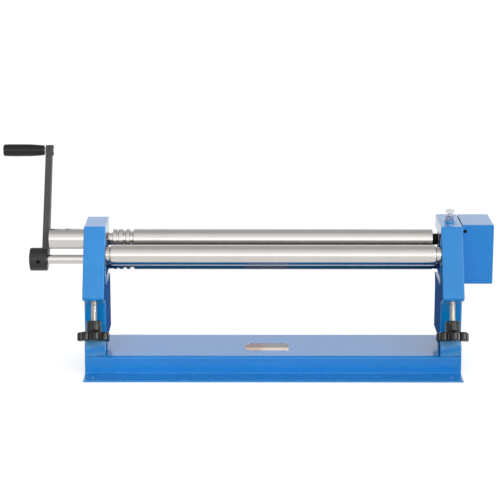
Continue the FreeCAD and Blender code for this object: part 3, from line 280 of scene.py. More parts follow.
def rod(start, end, radius, matrix, columns=48):
    """A plain round rod along the local Z axis."""
    return lathe([(start, 0), (start, radius), (end, radius), (end, 0)], matrix, columns)


def hub_ring(start, end, bore, radius, ease, matrix, columns=96):
    """A ring with a plain bore and well rounded outer edges."""
    outline = eased([(start, bore), (start, radius), (end, radius), (end, bore)], ease, 4)
    return lathe(outline, matrix, columns, closed=True)


def tube(corners, ease, matrix, columns=96):
    """A ring from the outline of its wall, all corners rounded but the first, which lies on a side."""
    return lathe(eased(corners + corners[:1], ease)[:-1], matrix, columns, closed=True)


def stepped(stations, ease):
    """Outline of a stepped shaft from (start, end, radius) runs, its edges broken."""
    corners = [(stations[0][0], 0)]
    for start, end, radius in stations:
        corners += [(start, radius), (end, radius)]
    corners.append((stations[-1][1], 0))
    return eased(corners, ease, 2)


def hexagon_form(turn):
    """Radius of a hexagon of unit flat distance."""
    return 1 / math.cos((turn % (math.pi / 3)) - math.pi / 6)


def socketed(outline, half_socket, floor, point, matrix, columns):
    """A turned mesh with a hexagon socket from its top to a floor that is drilled to a point."""
    top = outline[-1][0]
    rows = [(0, 0)] + outline
    rows += [(top, half_socket, hexagon_form), (floor, half_socket, hexagon_form), (point, 0)]
    return skin(rings_of(rows, columns), matrix)


def socket_head(radius, height, socket, matrix):
    """A domed button head with a hexagon socket."""
    outline = eased([(0, radius * 0.96), (height * 0.25, radius), (height * 0.8, radius * 0.82),
                     (height, radius * 0.55)], height * 0.4)
    return socketed(outline, socket / 2, floor=height * 0.35, point=height * 0.25, matrix=matrix, columns=72)


def socket_grub(radius, height, matrix):
    """A headless screw with a hexagon socket in its top."""
    outline = eased([(0, radius * 0.8), (radius * 0.2, radius), (height, radius), (height, radius * 0.6)],
                    0.4 * MM, 2)
    floor = height - radius
    return socketed(outline, radius * 0.5, floor, point=floor, matrix=matrix, columns=48)


def hex_head(width, height, matrix, both_ends=False, hole=0.0):
    """A hexagon head or nut with its corners turned off, from the matrix's origin up."""
    columns = 72
    half = width / 2
    shoulder = half * 0.97
    slope = math.tan(math.radians(30))

    def corner_ring(level, upward):
        points = ring_points(columns, level, half, hexagon_form)
        for point in points:
            point.z -= upward * (math.hypot(point.x, point.y) - shoulder) * slope
        return points

    rings = rings_of([(0, hole)], columns)
    if both_ends:
        rings += [ring_points(columns, 0, shoulder), corner_ring(0, -1)]
    else:
        rings.append(ring_points(columns, 0, half, hexagon_form))
    rings.append(corner_ring(height, 1))
    rings += rings_of([(height, shoulder), (height, hole)], columns)
    return skin(rings, matrix, closed=hole > 0)


def thread_rings(start, end, radius, pitch, columns):
    """Rings of a right-hand thread round the local Z axis."""
    rows_per_turn = 8
    depth = pitch * 0.55
    crest_width = 1.35
    flank_slope = 3.4
    rows = max(2, int(abs(end - start) / pitch * rows_per_turn))

    def cut_at(height):
        def form(turn):
            phase = (height / pitch - turn / (2 * math.pi)) % 1
            crest = min(1, max(0, crest_width - abs(phase - 0.5) * flank_slope))
            return 1 - depth * (1 - crest) / radius
        return form

    heights = [start + (end - start) * row / rows for row in range(rows + 1)]
    return rings_of([(height, radius, cut_at(height)) for height in heights], columns)


def box_mesh(low, high):
    """A box between two corners."""
    mesh = bmesh.new()
    bmesh.ops.create_cube(mesh, size=1)
    for vertex in mesh.verts:
        vertex.co = Vector([high[k] if vertex.co[k] > 0 else low[k] for k in range(3)])
    return mesh


def round_edges(mesh, edges, radius):
    """Rounds some edges of a mesh."""
    bmesh.ops.bevel(mesh, geom=edges, offset=radius, segments=4, profile=0.5, affect="EDGES")


def join(meshes):
    """Several meshes as one."""
    first = meshes[0]
    for other in meshes[1:]:
        store = bpy.data.meshes.new("spare")
        other.to_mesh(store)
        first.from_mesh(store)
        bpy.data.meshes.remove(store)
        other.free()
    return first


def copy_of(data):
    """A mesh to work on from an object's mesh."""
    mesh = bmesh.new()
    mesh.from_mesh(data)
    return mesh


def piece_from(mesh, name, weighted=True):
    """An object from a mesh, smooth up to a crease."""
    data = bpy.data.meshes.new(name)
    mesh.to_mesh(data)
    mesh.free()
    data.polygons.foreach_set("use_smooth", [True] * len(data.polygons))
    data.set_sharp_from_angle(angle=SMOOTH_UP_TO)
    piece = bpy.data.objects.new(name, data)
    bpy.context.scene.collection.objects.link(piece)
    if weighted:
        keep_flat(piece)
    return piece


def keep_flat(piece):
    """Weights the normals by area, so that flat faces stay flat beside rounded edges."""
    normals = piece.modifiers.new("flat faces stay flat", "WEIGHTED_NORMAL")
    normals.keep_sharp = True


def bored(piece, tool_mesh):
    """Cuts a hole in a piece with a tool mesh, and merges the points that the cut leaves closer
    together than any real feature."""
    tool = piece_from(tool_mesh, piece.name + "_tool", weighted=False)
    cutter = piece.modifiers.new("hole", "BOOLEAN")
    cutter.operation = "DIFFERENCE"
    cutter.solver = "EXACT"
    cutter.object = tool
    piece.modifiers.move(piece.modifiers.find(cutter.name), 0)
    graph = bpy.context.evaluated_depsgraph_get()
    result = bpy.data.meshes.new_from_object(piece.evaluated_get(graph))
    old = piece.data
    piece.modifiers.clear()
    piece.data = result
    bpy.data.meshes.remove(old)
    bpy.data.meshes.remove(tool.data)
    mesh = copy_of(result)
    closest = 0.01 * MM
    bmesh.ops.remove_doubles(mesh, verts=mesh.verts, dist=closest)
    bmesh.ops.dissolve_degenerate(mesh, dist=closest, edges=mesh.edges)
    mesh.to_mesh(result)
    mesh.free()
    result.set_sharp_from_angle(angle=SMOOTH_UP_TO)


def settle(piece, builder, body, slot, *nodes):
    """Gives a finished piece its finish and its body, and hides the solids it stands for. The slot is not
    used.
    """
    piece.data.materials.clear()
    piece.data.materials.append(finish(builder))
    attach(piece, body)
    if nodes:
        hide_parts(*nodes)
    return piece


def refinish(piece, builder, chosen):
    """Gives the faces that are chosen a second finish."""
    piece.data.materials.append(finish(builder))
    for polygon in piece.data.polygons:
        if chosen(polygon):
            polygon.material_index = 1


def coat_solids(builder, *nodes):
    """Gives solids that keep their shape a finish."""
    for node in nodes:
        solid = frame["nodes"][node]
        solid.data.materials.clear()
        solid.data.materials.append(finish(builder))


# ------------------------------------------------------------------ material tools
# The sockets of a Mix node have the same names for numbers and for colours, so numbers pick them.
SHARE = 0
NUMBER_A = 2
NUMBER_B = 3
COLOUR_A = 6
COLOUR_B = 7
MIXED_NUMBER = 0
MIXED_COLOUR = 2
METAL = [("Metallic", 1.0)]


def add(tree, kind, settings=(), links=()):
    """Adds a node with its settings and links, each given as (name or number, value or socket)."""
    made = tree.nodes.new(kind)
    for name, value in settings:
        if isinstance(name, int) or name in made.inputs:
            made.inputs[name].default_value = value
        else:
            setattr(made, name, value)
    for name, source in links:
        tree.links.new(source, made.inputs[name])
    return made


def bare_material(name):
    """A new material and its empty tree."""
    made = bpy.data.materials.new(name)
    made.use_nodes = True
    made.node_tree.nodes.clear()
    return made, made.node_tree


def shaded(made, settings, links=()):
    """Ends a material with its surface shader."""
    shader = add(made.node_tree, "ShaderNodeBsdfPrincipled", settings, links)
    add(made.node_tree, "ShaderNodeOutputMaterial", links=[("Surface", shader.outputs["BSDF"])])
    return made


def finish(builder):
    """A material by its builder, made once. No builder has the name of one of the frame's slots."""
    name = builder.__name__
    return bpy.data.materials.get(name) or builder(name)


def colours():
    """The colours that are set on the scene."""
    return bpy.context.scene.slip_roll_colours


def varied(tree, place, feature_mm, low, high, detail=2.0, stretch=(1, 1, 1)):
    """A noise of a real feature size between two values."""
    mapped = add(tree, "ShaderNodeMapping", [("Scale", stretch)], [("Vector", place)])
    noise = add(tree, "ShaderNodeTexNoise", [("Scale", 1 / (feature_mm * MM)), ("Detail", detail)],
                [("Vector", mapped.outputs["Vector"])])
    spread = add(tree, "ShaderNodeMapRange",
                 [("From Min", 0.3), ("From Max", 0.7), ("To Min", low), ("To Max", high)],
                 [("Value", noise.outputs["Fac"])])
    return spread.outputs["Result"]


def tinted(tree, place, base, feature_mm, spread):
    """The base colour made a little lighter and darker over a real distance."""
    factor = varied(tree, place, feature_mm, 1 - spread, 1 + spread)
    scaled = add(tree, "ShaderNodeMix",
                 [("data_type", "RGBA"), ("blend_type", "MULTIPLY"), (SHARE, 1.0), (COLOUR_A, base)],
                 [(COLOUR_B, factor)])
    return scaled.outputs[MIXED_COLOUR]


def relief(tree, place, under, feature_mm, depth_mm, hardness, detail=1.0, stretch=(1, 1, 1)):
    """Bumps of a real size and depth, over the normals under them."""
    links = [("Height", varied(tree, place, feature_mm, 0, 1, detail, stretch))]
    if under is not None:
        links.append(("Normal", under))
    bump = add(tree, "ShaderNodeBump", [("Distance", depth_mm * MM), ("Strength", hardness)], links)
    return bump.outputs["Normal"]


def painted_edge_highlights(tree, base, most):
    """The base colour drawn towards the pale enamel where the surface turns over an edge: a painted
    highlight for the light that rounded edges catch. It is drawn 2.6 mm wide so that it shows."""
    turned = add(tree, "ShaderNodeBevel", [("samples", 6), ("Radius", 2.6 * MM)])
    true = add(tree, "ShaderNodeNewGeometry")
    along = add(tree, "ShaderNodeVectorMath", [("operation", "DOT_PRODUCT")],
                [(0, turned.outputs["Normal"]), (1, true.outputs["True Normal"])])
    share = add(tree, "ShaderNodeMapRange",
                [("From Min", 0.985), ("From Max", 0.85), ("To Min", 0.0), ("To Max", most)],
                [("Value", along.outputs["Value"])])
    mixed = add(tree, "ShaderNodeMix", [("data_type", "RGBA"), (COLOUR_B, colours().edge_highlight_enamel)],
                [(SHARE, share.outputs["Result"]), (COLOUR_A, base)])
    return mixed.outputs[MIXED_COLOUR]


def surface(name, base, clouds, gloss, reliefs=(), edge_mm=0.0, painted_light=0.0, settings=()):
    """A finish from its base colour, its clouds as (distance in mm, spread), its gloss as (distance in mm,
    least roughness, most roughness) and its reliefs, the coarsest first, as (distance in mm, depth in mm,
    hardness). Each may add the detail and the stretch of its pattern. Paint also has the radius over which
    an edge turns, and how strongly a painted highlight is drawn along that edge."""
    made, tree = bare_material(name)
    place = add(tree, "ShaderNodeTexCoord").outputs["Object"]
    coloured = tinted(tree, place, base, *clouds)
    # Paint may get a painted highlight along its edges.
    if painted_light:
        coloured = painted_edge_highlights(tree, coloured, painted_light)
    links = [("Base Color", coloured), ("Roughness", varied(tree, place, *gloss))]
    normal = None
    if edge_mm:
        normal = add(tree, "ShaderNodeBevel", [("samples", 6), ("Radius", edge_mm * MM)]).outputs["Normal"]
    for each in reliefs:
        normal = relief(tree, place, normal, *each)
    if normal is not None:
        links.append(("Normal", normal))
    return shaded(made, settings, links)


# ------------------------------------------------------------------ finishes
def gloss_paint(specular, coat_roughness):
    """Settings for a pigment under its own clear gloss."""
    return [("Specular IOR Level", specular), ("Coat Weight", 1.0), ("Coat IOR", 1.38),
            ("Coat Roughness", coat_roughness)]


def sprayed_enamel_on_casting(name):
    """Gloss machine enamel sprayed over filled and sanded iron: sand-cast waviness shows through as soft
    swells, with the fine orange peel of the spray on top, and a painted highlight along the edges."""
    return surface(name, colours().enamel, clouds=(70, 0.03), gloss=(25, 0.25, 0.35),
                   reliefs=[(16, 0.12, 0.4), (2.4, 0.03, 0.3)], edge_mm=1.6, painted_light=0.6,
                   settings=gloss_paint(0.15, 0.2))


def sand_skin_enamel_painted_shade(name):
    """One thin coat of the enamel on iron left as it came from the sand: flat, and pitted by grains of about
    0.6 mm, drawn 1.5 mm wide so that they show. Its deeper colour is painted shade on the flanks that face
    the rollers."""
    return surface(name, colours().painted_shade_flank_enamel, clouds=(9, 0.08), gloss=(3, 0.6, 0.75),
                   reliefs=[(1.5, 0.12, 0.5, 2.0)], edge_mm=1.6,
                   settings=[("Specular IOR Level", 0.02)])


def sprayed_enamel_on_sheet(name):
    """The same enamel on cold-rolled sheet: flatter than on the castings, with orange peel only, and a
    fainter painted highlight along its edges.
    """
    return surface(name, colours().sheet_enamel, clouds=(120, 0.025), gloss=(40, 0.22, 0.3),
                   reliefs=[(2.4, 0.01, 0.12)], edge_mm=1.2, painted_light=0.45,
                   settings=gloss_paint(0.1, 0.14))


def ground_bar(name, base):
    """Ground and polished bar: a bright mirror, drawn out by fine rings from the grinding wheel.
    Real rings are about 0.05 mm apart; they are drawn at 0.9 mm so that they show."""
    return surface(name, base, clouds=(45, 0.02), gloss=(3, 0.12, 0.17, 2.0, (1, 0.05, 0.05)),
                   reliefs=[(0.9, 0.004, 0.35, 3.0, (1, 0.02, 0.02))], settings=METAL)


def centreless_ground_steel(name):
    """The ground bar in its own colour: all that the sheet touches, and the outer journals. The lower
    roller's barrel takes the same bar drawn darker as painted shade.
    """
    return ground_bar(name, colours().ground_steel)


def ground_steel_painted_shade(name):
    """The same ground bar drawn darker on the lower roller's barrel: painted shade, for the shade it lies in
    under the other two rollers."""
    return ground_bar(name, colours().painted_shade_roller_steel)


def lathe_turned_steel(name):
    """Plain steel off the lathe: duller than the rollers, with visible tool rings.
    Real feed marks are 0.15 mm apart; they are drawn at 0.7 mm so that they show."""
    return surface(name, colours().turned_steel, clouds=(12, 0.05), gloss=(5, 0.16, 0.26),
                   reliefs=[(0.7, 0.01, 0.4, 2.0, (1, 0.06, 0.06))], settings=METAL)


def milled_steel(name):
    """Blocks, gears and keys off the mill: even grey, with a light cross grain 0.5 mm apart."""
    return surface(name, colours().turned_steel, clouds=(10, 0.06), gloss=(4, 0.32, 0.46),
                   reliefs=[(0.5, 0.01, 0.4, 2.0, (0.2, 1, 1))], settings=METAL)


def bright_zinc_plate(name):
    """Zinc-plated fasteners: a bluish, slightly cloudy bright grey with crystals about 1.5 mm wide."""
    return surface(name, colours().zinc, clouds=(1.5, 0.07), gloss=(2.5, 0.06, 0.14), settings=METAL)


def zinc_painted_blue_reflection(name):
    """Zinc drawn deep blue: a painted reflection of the blue frame around it, darker and bluer than the
    bright plate beside it, with tinted clouds about 3 mm wide."""
    return surface(name, colours().painted_blue_reflection_zinc, clouds=(3, 0.2), gloss=(2.5, 0.06, 0.14), settings=METAL)


def oil_blackened_steel(name):
    """Blackened screws with a film of oil: nearly black and flat, with a fine mottle of about 1 mm. The
    black is a skin of iron oxide, so it is shaded as an opaque coat and not as bare metal."""
    return surface(name, colours().black_oxide, clouds=(1.0, 0.12), gloss=(2, 0.45, 0.6),
                   settings=[("Specular IOR Level", 0.12)])


def satin_black(name, base):
    """Satin black enamel on a forging: soft wide highlights over a lightly pitted surface, with
    pits about 1.2 mm across."""
    return surface(name, base, clouds=(30, 0.06), gloss=(6, 0.42, 0.55),
                   reliefs=[(9, 0.12, 0.5), (1.2, 0.03, 0.5, 3.0)])


def sprayed_satin_black(name):
    """The enamel of the crank's arm, a dark grey under light."""
    return satin_black(name, colours().crank_enamel)


def satin_black_dark_hub_painted_shade(name):
    """The same enamel, darker and browner, on the hub, and on the arm's side towards the machine, where the
    darkness is painted shade.
    """
    return satin_black(name, colours().hub_and_shaded_side_enamel)


def moulded_phenolic(name):
    """Black phenolic from a polished mould: deep gloss with a faint flow ripple about 6 mm long."""
    return surface(name, colours().phenolic, clouds=(8, 0.08), gloss=(4, 0.08, 0.15),
                   reliefs=[(6, 0.04, 0.4)], settings=[("IOR", 1.38)])


def bearing_bronze(name):
    """Sintered bearing bronze: warm and dull, with oil-darkened pores about 0.8 mm apart."""
    return surface(name, colours().bronze, clouds=(0.8, 0.12), gloss=(1.5, 0.35, 0.5), settings=METAL)


def etched_aluminium_plate(name):
    """Aluminium name plate stock, left without words: a bright brushed strip along the front edge,
    a grey etched field behind it, a thin rule between the two and a greenish line along the back.
    Both fields redden towards the left, and the etched one is duller there."""
    made, tree = bare_material(name)
    place = add(tree, "ShaderNodeTexCoord").outputs["Object"]
    low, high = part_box("rating_plate")
    wide = high.x - low.x
    field_edge = low.y + (high.y - low.y) * 0.36
    back_line = high.y - 2.5 * MM
    rule_half_width = 0.7 * MM
    parts = add(tree, "ShaderNodeSeparateXYZ", links=[("Vector", place)])

    def compared(operation, *values):
        settings = [("operation", operation)] + list(enumerate(values, 1))
        return add(tree, "ShaderNodeMath", settings, [(0, parts.outputs["Y"])]).outputs["Value"]

    def painted(under, share, text):
        return add(tree, "ShaderNodeMix", [("data_type", "RGBA"), (COLOUR_B, linear(text))],
                   [(SHARE, share), (COLOUR_A, under)]).outputs[MIXED_COLOUR]

    etched = compared("GREATER_THAN", field_edge)
    fields = add(tree, "ShaderNodeMix", [("data_type", "RGBA"), (COLOUR_A, colours().plate_field),
                                         (COLOUR_B, colours().plate_band)], [(SHARE, etched)])
    leftward = add(tree, "ShaderNodeMapRange", [("From Min", low.x + wide * 0.5), ("To Min", 0.0),
                                                ("From Max", low.x + wide * 0.3), ("To Max", 0.55)],
                   [("Value", parts.outputs["X"])]).outputs["Result"]
    dull = add(tree, "ShaderNodeMath", [("operation", "MULTIPLY")], [(0, leftward), (1, etched)])
    coloured = painted(fields.outputs[MIXED_COLOUR], leftward, "#C98F86")
    coloured = painted(coloured, dull.outputs["Value"], "#6B6F78")
    coloured = painted(coloured, compared("COMPARE", field_edge, rule_half_width), "#74706C")
    coloured = painted(coloured, compared("GREATER_THAN", back_line), "#66756E")
    grain = varied(tree, place, 0.6, 0.9, 1.1, stretch=(0.05, 1, 1))
    brushed = add(tree, "ShaderNodeMix", [("data_type", "RGBA"), ("blend_type", "MULTIPLY"), (SHARE, 1.0)],
                  [(COLOUR_A, coloured), (COLOUR_B, grain)])
    return shaded(made, [("Metallic", 0.7)], [("Base Color", brushed.outputs[MIXED_COLOUR]),
                                              ("Roughness", varied(tree, place, 3, 0.3, 0.42))])


def pale_studio_floor(name):
    """Matt white floor paper: it stays white round the machine, also in the polished steel, and
    keeps the machine's shadow."""
    made, tree = bare_material(name)
    path = add(tree, "ShaderNodeLightPath")
    seen = path.outputs["Is Camera Ray"]
    for ray in ("Is Glossy Ray", "Is Transmission Ray"):
        seen = add(tree, "ShaderNodeMath", [("operation", "MAXIMUM")],
                   [(0, seen), (1, path.outputs[ray])]).outputs["Value"]
    lift = 0.62
    lifted = add(tree, "ShaderNodeMath", [("operation", "MULTIPLY"), (1, lift)], [(0, seen)])
    return shaded(made, [("Base Color", linear("#D2D2D2")), ("Roughness", 0.9), ("Specular IOR Level", 0.0),
                         ("Emission Color", (1, 1, 1, 1))],
                  [("Emission Strength", lifted.outputs["Value"])])


# ------------------------------------------------------------------ operators
def slot_channel(side):
    """A tool for the shallow channel that runs on down from a sliding block's slot."""
    low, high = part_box(side + "_frame")
    half_width = 11.1 * MM
    depth = 12 * MM
    top = -21 * MM
    bottom = -55 * MM
    inner, outer = (high.x + MM, high.x - depth) if side == "left" else (low.x - MM, low.x + depth)
    mesh = box_mesh((outer, -half_width, bottom), (inner, half_width, top))
    mesh.transform(along_screw((0, BEND_AXIS.y, BEND_AXIS.z)))
    bmesh.ops.recalc_face_normals(mesh, faces=mesh.faces)
    return mesh


class SLIPROLL_OT_castings(Operator):
    """Sprays the two end frames. The flanks that face the rollers get a flat coat whose deeper colour is
    painted shade. The step above each foot is let down a little, and each slot runs on down as a shallow
    channel"""
    bl_idname = "sliproll.castings"
    bl_label = "End frames"

    def execute(self, context):
        # Below this height the inner flanks get the flat finish with painted shade.
        painted_shade_height = 258 * MM
        step_height = 72 * MM
        step_drop = 9 * MM
        near = 0.1 * MM
        for side, inward in (("left", 1), ("right", -1)):
            mesh = copy_of(frame["nodes"][side + "_frame"].data)
            bmesh.ops.remove_doubles(mesh, verts=mesh.verts, dist=0.002 * MM)
            for vertex in mesh.verts:
                if abs(vertex.co.z - step_height) < near:
                    vertex.co.z -= step_drop
            bmesh.ops.bisect_plane(mesh, geom=mesh.verts[:] + mesh.edges[:] + mesh.faces[:],
                                   plane_co=(0, 0, painted_shade_height), plane_no=(0, 0, 1))
            casting = piece_from(mesh, "cast_%s_frame" % side, weighted=False)
            bored(casting, slot_channel(side))
            settle(casting, sprayed_enamel_on_casting, "root", "blue_paint", side + "_frame")
            # The inner flanks below that height take the flat, darker finish: painted shade.
            refinish(casting, sand_skin_enamel_painted_shade, lambda polygon: (
                polygon.normal.x * inward > 0.95 and polygon.center.z < painted_shade_height))
            keep_flat(casting)
        return {"FINISHED"}


class SLIPROLL_OT_base(Operator):
    """Sprays the folded base"""
    bl_idname = "sliproll.base"
    bl_label = "Base channel"

    def execute(self, context):
        coat_solids(sprayed_enamel_on_sheet, "base_channel")
        return {"FINISHED"}


class SLIPROLL_OT_gear_cover(Operator):
    """Folds the gear cover with rounded edges and fits its screws"""
    bl_idname = "sliproll.gear_cover"
    bl_label = "Gear cover"

    def execute(self, context):
        sizes = context.scene.slip_roll_sizes
        low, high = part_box("gear_cover")
        sides = ((low.y, QUARTER), (high.y, -QUARTER))
        low.x += sizes.cover_gap
        mesh = box_mesh(low, high)

        def at_mouth(part):
            return all(abs(vertex.co.x - low.x) < SAME_PLACE for vertex in part.verts)

        folds = [edge for edge in mesh.edges if not at_mouth(edge)]
        mouth = [face for face in mesh.faces if at_mouth(face)]
        bmesh.ops.delete(mesh, geom=mouth, context="FACES_ONLY")
        round_edges(mesh, folds, sizes.sheet_ease)
        cover = piece_from(mesh, "folded_gear_cover", weighted=False)
        wall = cover.modifiers.new("sheet", "SOLIDIFY")
        wall.thickness = 1.5 * MM
        wall.offset = -1
        keep_flat(cover)
        settle(cover, sprayed_enamel_on_sheet, "root", "blue_paint", "gear_cover")

        centre = middle_of("gear_cover_screws")
        shank_length = 7.4 * MM
        shank_radius = 2.5 * MM
        parts = []
        for y, turn in sides:
            seat = placed((centre.x, y, centre.z), turn, "X")
            parts.append(socket_head(radius=3.4 * MM, height=3 * MM, socket=2.6 * MM, matrix=seat))
            parts.append(rod(-shank_length, 0, shank_radius, seat, 32))
        screws = piece_from(join(parts), "button_head_screws")
        settle(screws, oil_blackened_steel, "root", "black_oxide_steel", "gear_cover_screws")
        return {"FINISHED"}


class SLIPROLL_OT_rollers(Operator):
    """Turns the three rollers with their journals and wire grooves"""
    bl_idname = "sliproll.rollers"
    bl_label = "Rollers"

    def execute(self, context):
        sizes = context.scene.slip_roll_sizes
        face = sizes.roller_diameter / 2
        left = -304 * MM
        right = 303 * MM
        grooved = (left + 4 * MM, left + 44 * MM)
        # Each wire groove by its distance from the left end and its radius, in millimetres.
        grooves = ((9, 2.2), (22.2, 3.0), (35.6, 3.8))
        # The shoulders stop just short of the end frames' inner flanks.
        flank = 314 * MM
        past_flank = flank + 0.1 * MM
        gear_journal = 9 * MM
        gear_seat = 7.5 * MM
        seat_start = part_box("drive_gear")[0].x
        seat_end = seat_start + 19.5 * MM

        def feed_roller(node, axis, body, left_journal, left_shoulder, right_shoulder):
            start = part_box(node)[0].x
            rows = eased([(start, 0), (start, left_journal), (-flank, left_journal),
                          (-flank, left_shoulder), (left, left_shoulder), (left, face),
                          (grooved[0], face)], sizes.roller_ease)
            for distance, radius in grooves:
                rows += arc((left + distance * MM, face), -radius * MM, -radius * MM, 0, math.pi, 12)
            rows += eased([(grooved[1], face), (right, face), (right, right_shoulder),
                           (flank, right_shoulder), (flank, gear_journal), (seat_start, gear_journal),
                           (seat_start, gear_seat), (seat_end, gear_seat), (seat_end, 0)],
                          sizes.roller_ease)
            roller = piece_from(lathe(rows, along_x(axis), ROLLER_COLUMNS), "ground_" + node)
            return settle(roller, centreless_ground_steel, body, "polished_steel", node)

        feed_roller("upper_roller", UPPER_AXIS, "upper_shaft", left_journal=10.5 * MM,
                    left_shoulder=12.2 * MM, right_shoulder=10.4 * MM)
        # A black ring over the upper roller's right journal, between the roller's end and the frame, where
        # that journal shows dark.
        dark_ring_radius = 10.7 * MM
        outline = eased([(right, 0), (right, dark_ring_radius), (past_flank, dark_ring_radius), (past_flank, 0)], 0.1 * MM, 2)
        journal = piece_from(lathe(outline, along_x(UPPER_AXIS)), "dark_upper_journal_ring")
        settle(journal, oil_blackened_steel, "upper_shaft", "black_oxide_steel")
        lower = feed_roller("lower_roller", LOWER_AXIS, "crank", left_journal=9 * MM,
                            left_shoulder=18.2 * MM, right_shoulder=18.2 * MM)
        # The lower roller's barrel gets the darker steel: painted shade.
        refinish(lower, ground_steel_painted_shade, lambda polygon: abs(polygon.center.x) < past_flank)

        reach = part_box("bend_roller")[1].x
        half = 304.8 * MM
        shoulder = half + 1.5 * MM
        pin = 7 * MM
        relieved = 14.5 * MM
        rows = stepped([(-reach, -shoulder, pin), (-shoulder, -half, relieved), (-half, half, face),
                        (half, shoulder, relieved), (shoulder, reach, pin)], sizes.roller_ease)
        bend = piece_from(lathe(rows, along_x(BEND_AXIS), ROLLER_COLUMNS), "ground_bend_roller")
        settle(bend, centreless_ground_steel, "bend_shaft", "polished_steel", "bend_roller")
        return {"FINISHED"}


class SLIPROLL_OT_sleeve(Operator):
    """Turns the sleeve outside the left frame, with its tapped hole"""
    bl_idname = "sliproll.sleeve"
    bl_label = "Sleeve"

    def execute(self, context):
        sizes = context.scene.slip_roll_sizes
        low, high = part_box("balance_sleeve")
        face = sizes.roller_diameter / 2
        bore = 10.52 * MM
        corners = [(low.x, (face + bore) / 2), (low.x, face), (high.x, face), (high.x, bore), (low.x, bore)]
        sleeve = piece_from(tube(corners, sizes.fine_ease, along_x(UPPER_AXIS), ROLLER_COLUMNS),
                            "ground_sleeve")
        hole = middle_of("sleeve_grub_screw")
        bored(sleeve, rod(start=-8 * MM, end=14 * MM, radius=GRUB_HOLE, matrix=placed(hole)))
        settle(sleeve, centreless_ground_steel, "upper_shaft", "polished_steel", "balance_sleeve")
        low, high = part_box("sleeve_grub_screw")
        grub = socket_grub(GRUB_RADIUS, high.z - low.z, placed((hole.x, hole.y, low.z)))
        settle(piece_from(grub, "socket_sleeve_grub"), oil_blackened_steel, "upper_shaft",
               "black_oxide_steel", "sleeve_grub_screw")
        return {"FINISHED"}


class SLIPROLL_OT_bearings(Operator):
    """Finishes the feed bushes, the sliding blocks and their pins, and turns the collared bushes"""
    bl_idname = "sliproll.bearings"
    bl_label = "Bushes and blocks"

    def execute(self, context):
        coat_solids(bearing_bronze, "upper_left_bush", "upper_right_bush", "lower_left_bush",
                    "lower_right_bush")
        coat_solids(milled_steel, "bend_left_block", "bend_right_block", "left_screw_pins",
                    "right_screw_pins")
        ease = context.scene.slip_roll_sizes.fine_ease * 1.6
        bore = 7.05 * MM
        barrel = 9.05 * MM
        collar = 16 * MM
        on_collar = 10 * MM
        collar_width = 8.6 * MM
        for side, outward in (("left", -1), ("right", 1)):
            node = "bend_%s_bush" % side
            low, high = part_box(node)
            inner, outer = (high.x, low.x) if side == "left" else (low.x, high.x)
            shoulder = inner + outward * collar_width
            corners = [(inner, on_collar), (inner, collar), (shoulder, collar), (shoulder, barrel),
                       (outer, barrel), (outer, bore), (inner, bore)]
            bush = piece_from(tube(corners, ease, along_x(BEND_AXIS)), "collared_%s_bush" % side)
            settle(bush, lathe_turned_steel, "bend_carriage", "machined_steel", node)
        return {"FINISHED"}


class SLIPROLL_OT_crank(Operator):
    """Forges the crank arm with its hub and boss, and fits its screw and spindle"""
    bl_idname = "sliproll.crank"
    bl_label = "Crank"

    def execute(self, context):
        low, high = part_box("crank_arm")
        boss_stands_out = 2 * MM
        web_thickness = 12.2 * MM
        web_end = high.x - boss_stands_out
        web_start = web_end - web_thickness
        foot_half = 15 * MM
        foot_height = 6 * MM
        boss = 10.5 * MM
        boss_bore = 5.02 * MM
        hub = 22 * MM
        hub_bore = 9.02 * MM
        corners = [(-foot_half, 0), (-foot_half, foot_height)]
        corners += arc((0, CRANK_LENGTH), boss, boss, math.pi, 0, 12)
        corners += [(foot_half, foot_height), (foot_half, 0)]
        lean = placed((0, LOWER_AXIS.y, LOWER_AXIS.z), -CRANK_LEAN, "X")
        web = bmesh.new()
        sides = [[web.verts.new(lean @ Vector((x, across, up))) for across, up in corners]
                 for x in (web_start, web_end)]
        web.faces.new(list(reversed(sides[0])))
        web.faces.new(sides[1])
        for index in range(len(corners)):
            after = (index + 1) % len(corners)
            web.faces.new((sides[0][index], sides[0][after], sides[1][after], sides[1][index]))
        bmesh.ops.recalc_face_normals(web, faces=web.faces)
        rim = [edge for edge in web.edges if edge.calc_face_angle(0) > math.radians(60)]
        round_edges(web, rim, context.scene.slip_roll_sizes.crank_ease)

        turned_hub = hub_ring(start=low.x + 1.5 * MM, end=web_end - 2.2 * MM, bore=hub_bore, radius=hub,
                              ease=2.6 * MM, matrix=along_x(LOWER_AXIS))
        drilled = piece_from(turned_hub, "forged_hub")
        screw_x = middle_of("crank_set_screw").x
        bored(drilled, rod(start=5 * MM, end=30 * MM, radius=GRUB_HOLE,
                           matrix=placed((screw_x, LOWER_AXIS.y, LOWER_AXIS.z), QUARTER, "X")))
        parts = [copy_of(drilled.data), web,
                 hub_ring(start=web_start, end=high.x, bore=boss_bore, radius=boss, ease=1.0 * MM,
                          matrix=along_x(GRIP_AXIS), columns=72)]
        bpy.data.meshes.remove(drilled.data)
        crank = piece_from(join(parts), "forged_crank_arm")
        settle(crank, sprayed_satin_black, "crank", "black_paint", "crank_arm")

        # The hub, and the arm's side that faces the machine, take the darker black; on that side it is
        # painted shade.
        def dark_hub_and_shaded_side(polygon):
            from_axis = polygon.center - LOWER_AXIS
            return polygon.normal.x > 0.9 or math.hypot(from_axis.y, from_axis.z) < hub + 0.5 * MM

        refinish(crank, satin_black_dark_hub_painted_shade, dark_hub_and_shaded_side)

        low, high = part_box("crank_set_screw")
        grub = socket_grub(GRUB_RADIUS, high.y - low.y,
                           placed((screw_x, high.y, LOWER_AXIS.z), QUARTER, "X"))
        settle(piece_from(grub, "socket_crank_grub"), oil_blackened_steel, "crank", "black_oxide_steel",
               "crank_set_screw")
        coat_solids(lathe_turned_steel, "handle_spindle")
        return {"FINISHED"}


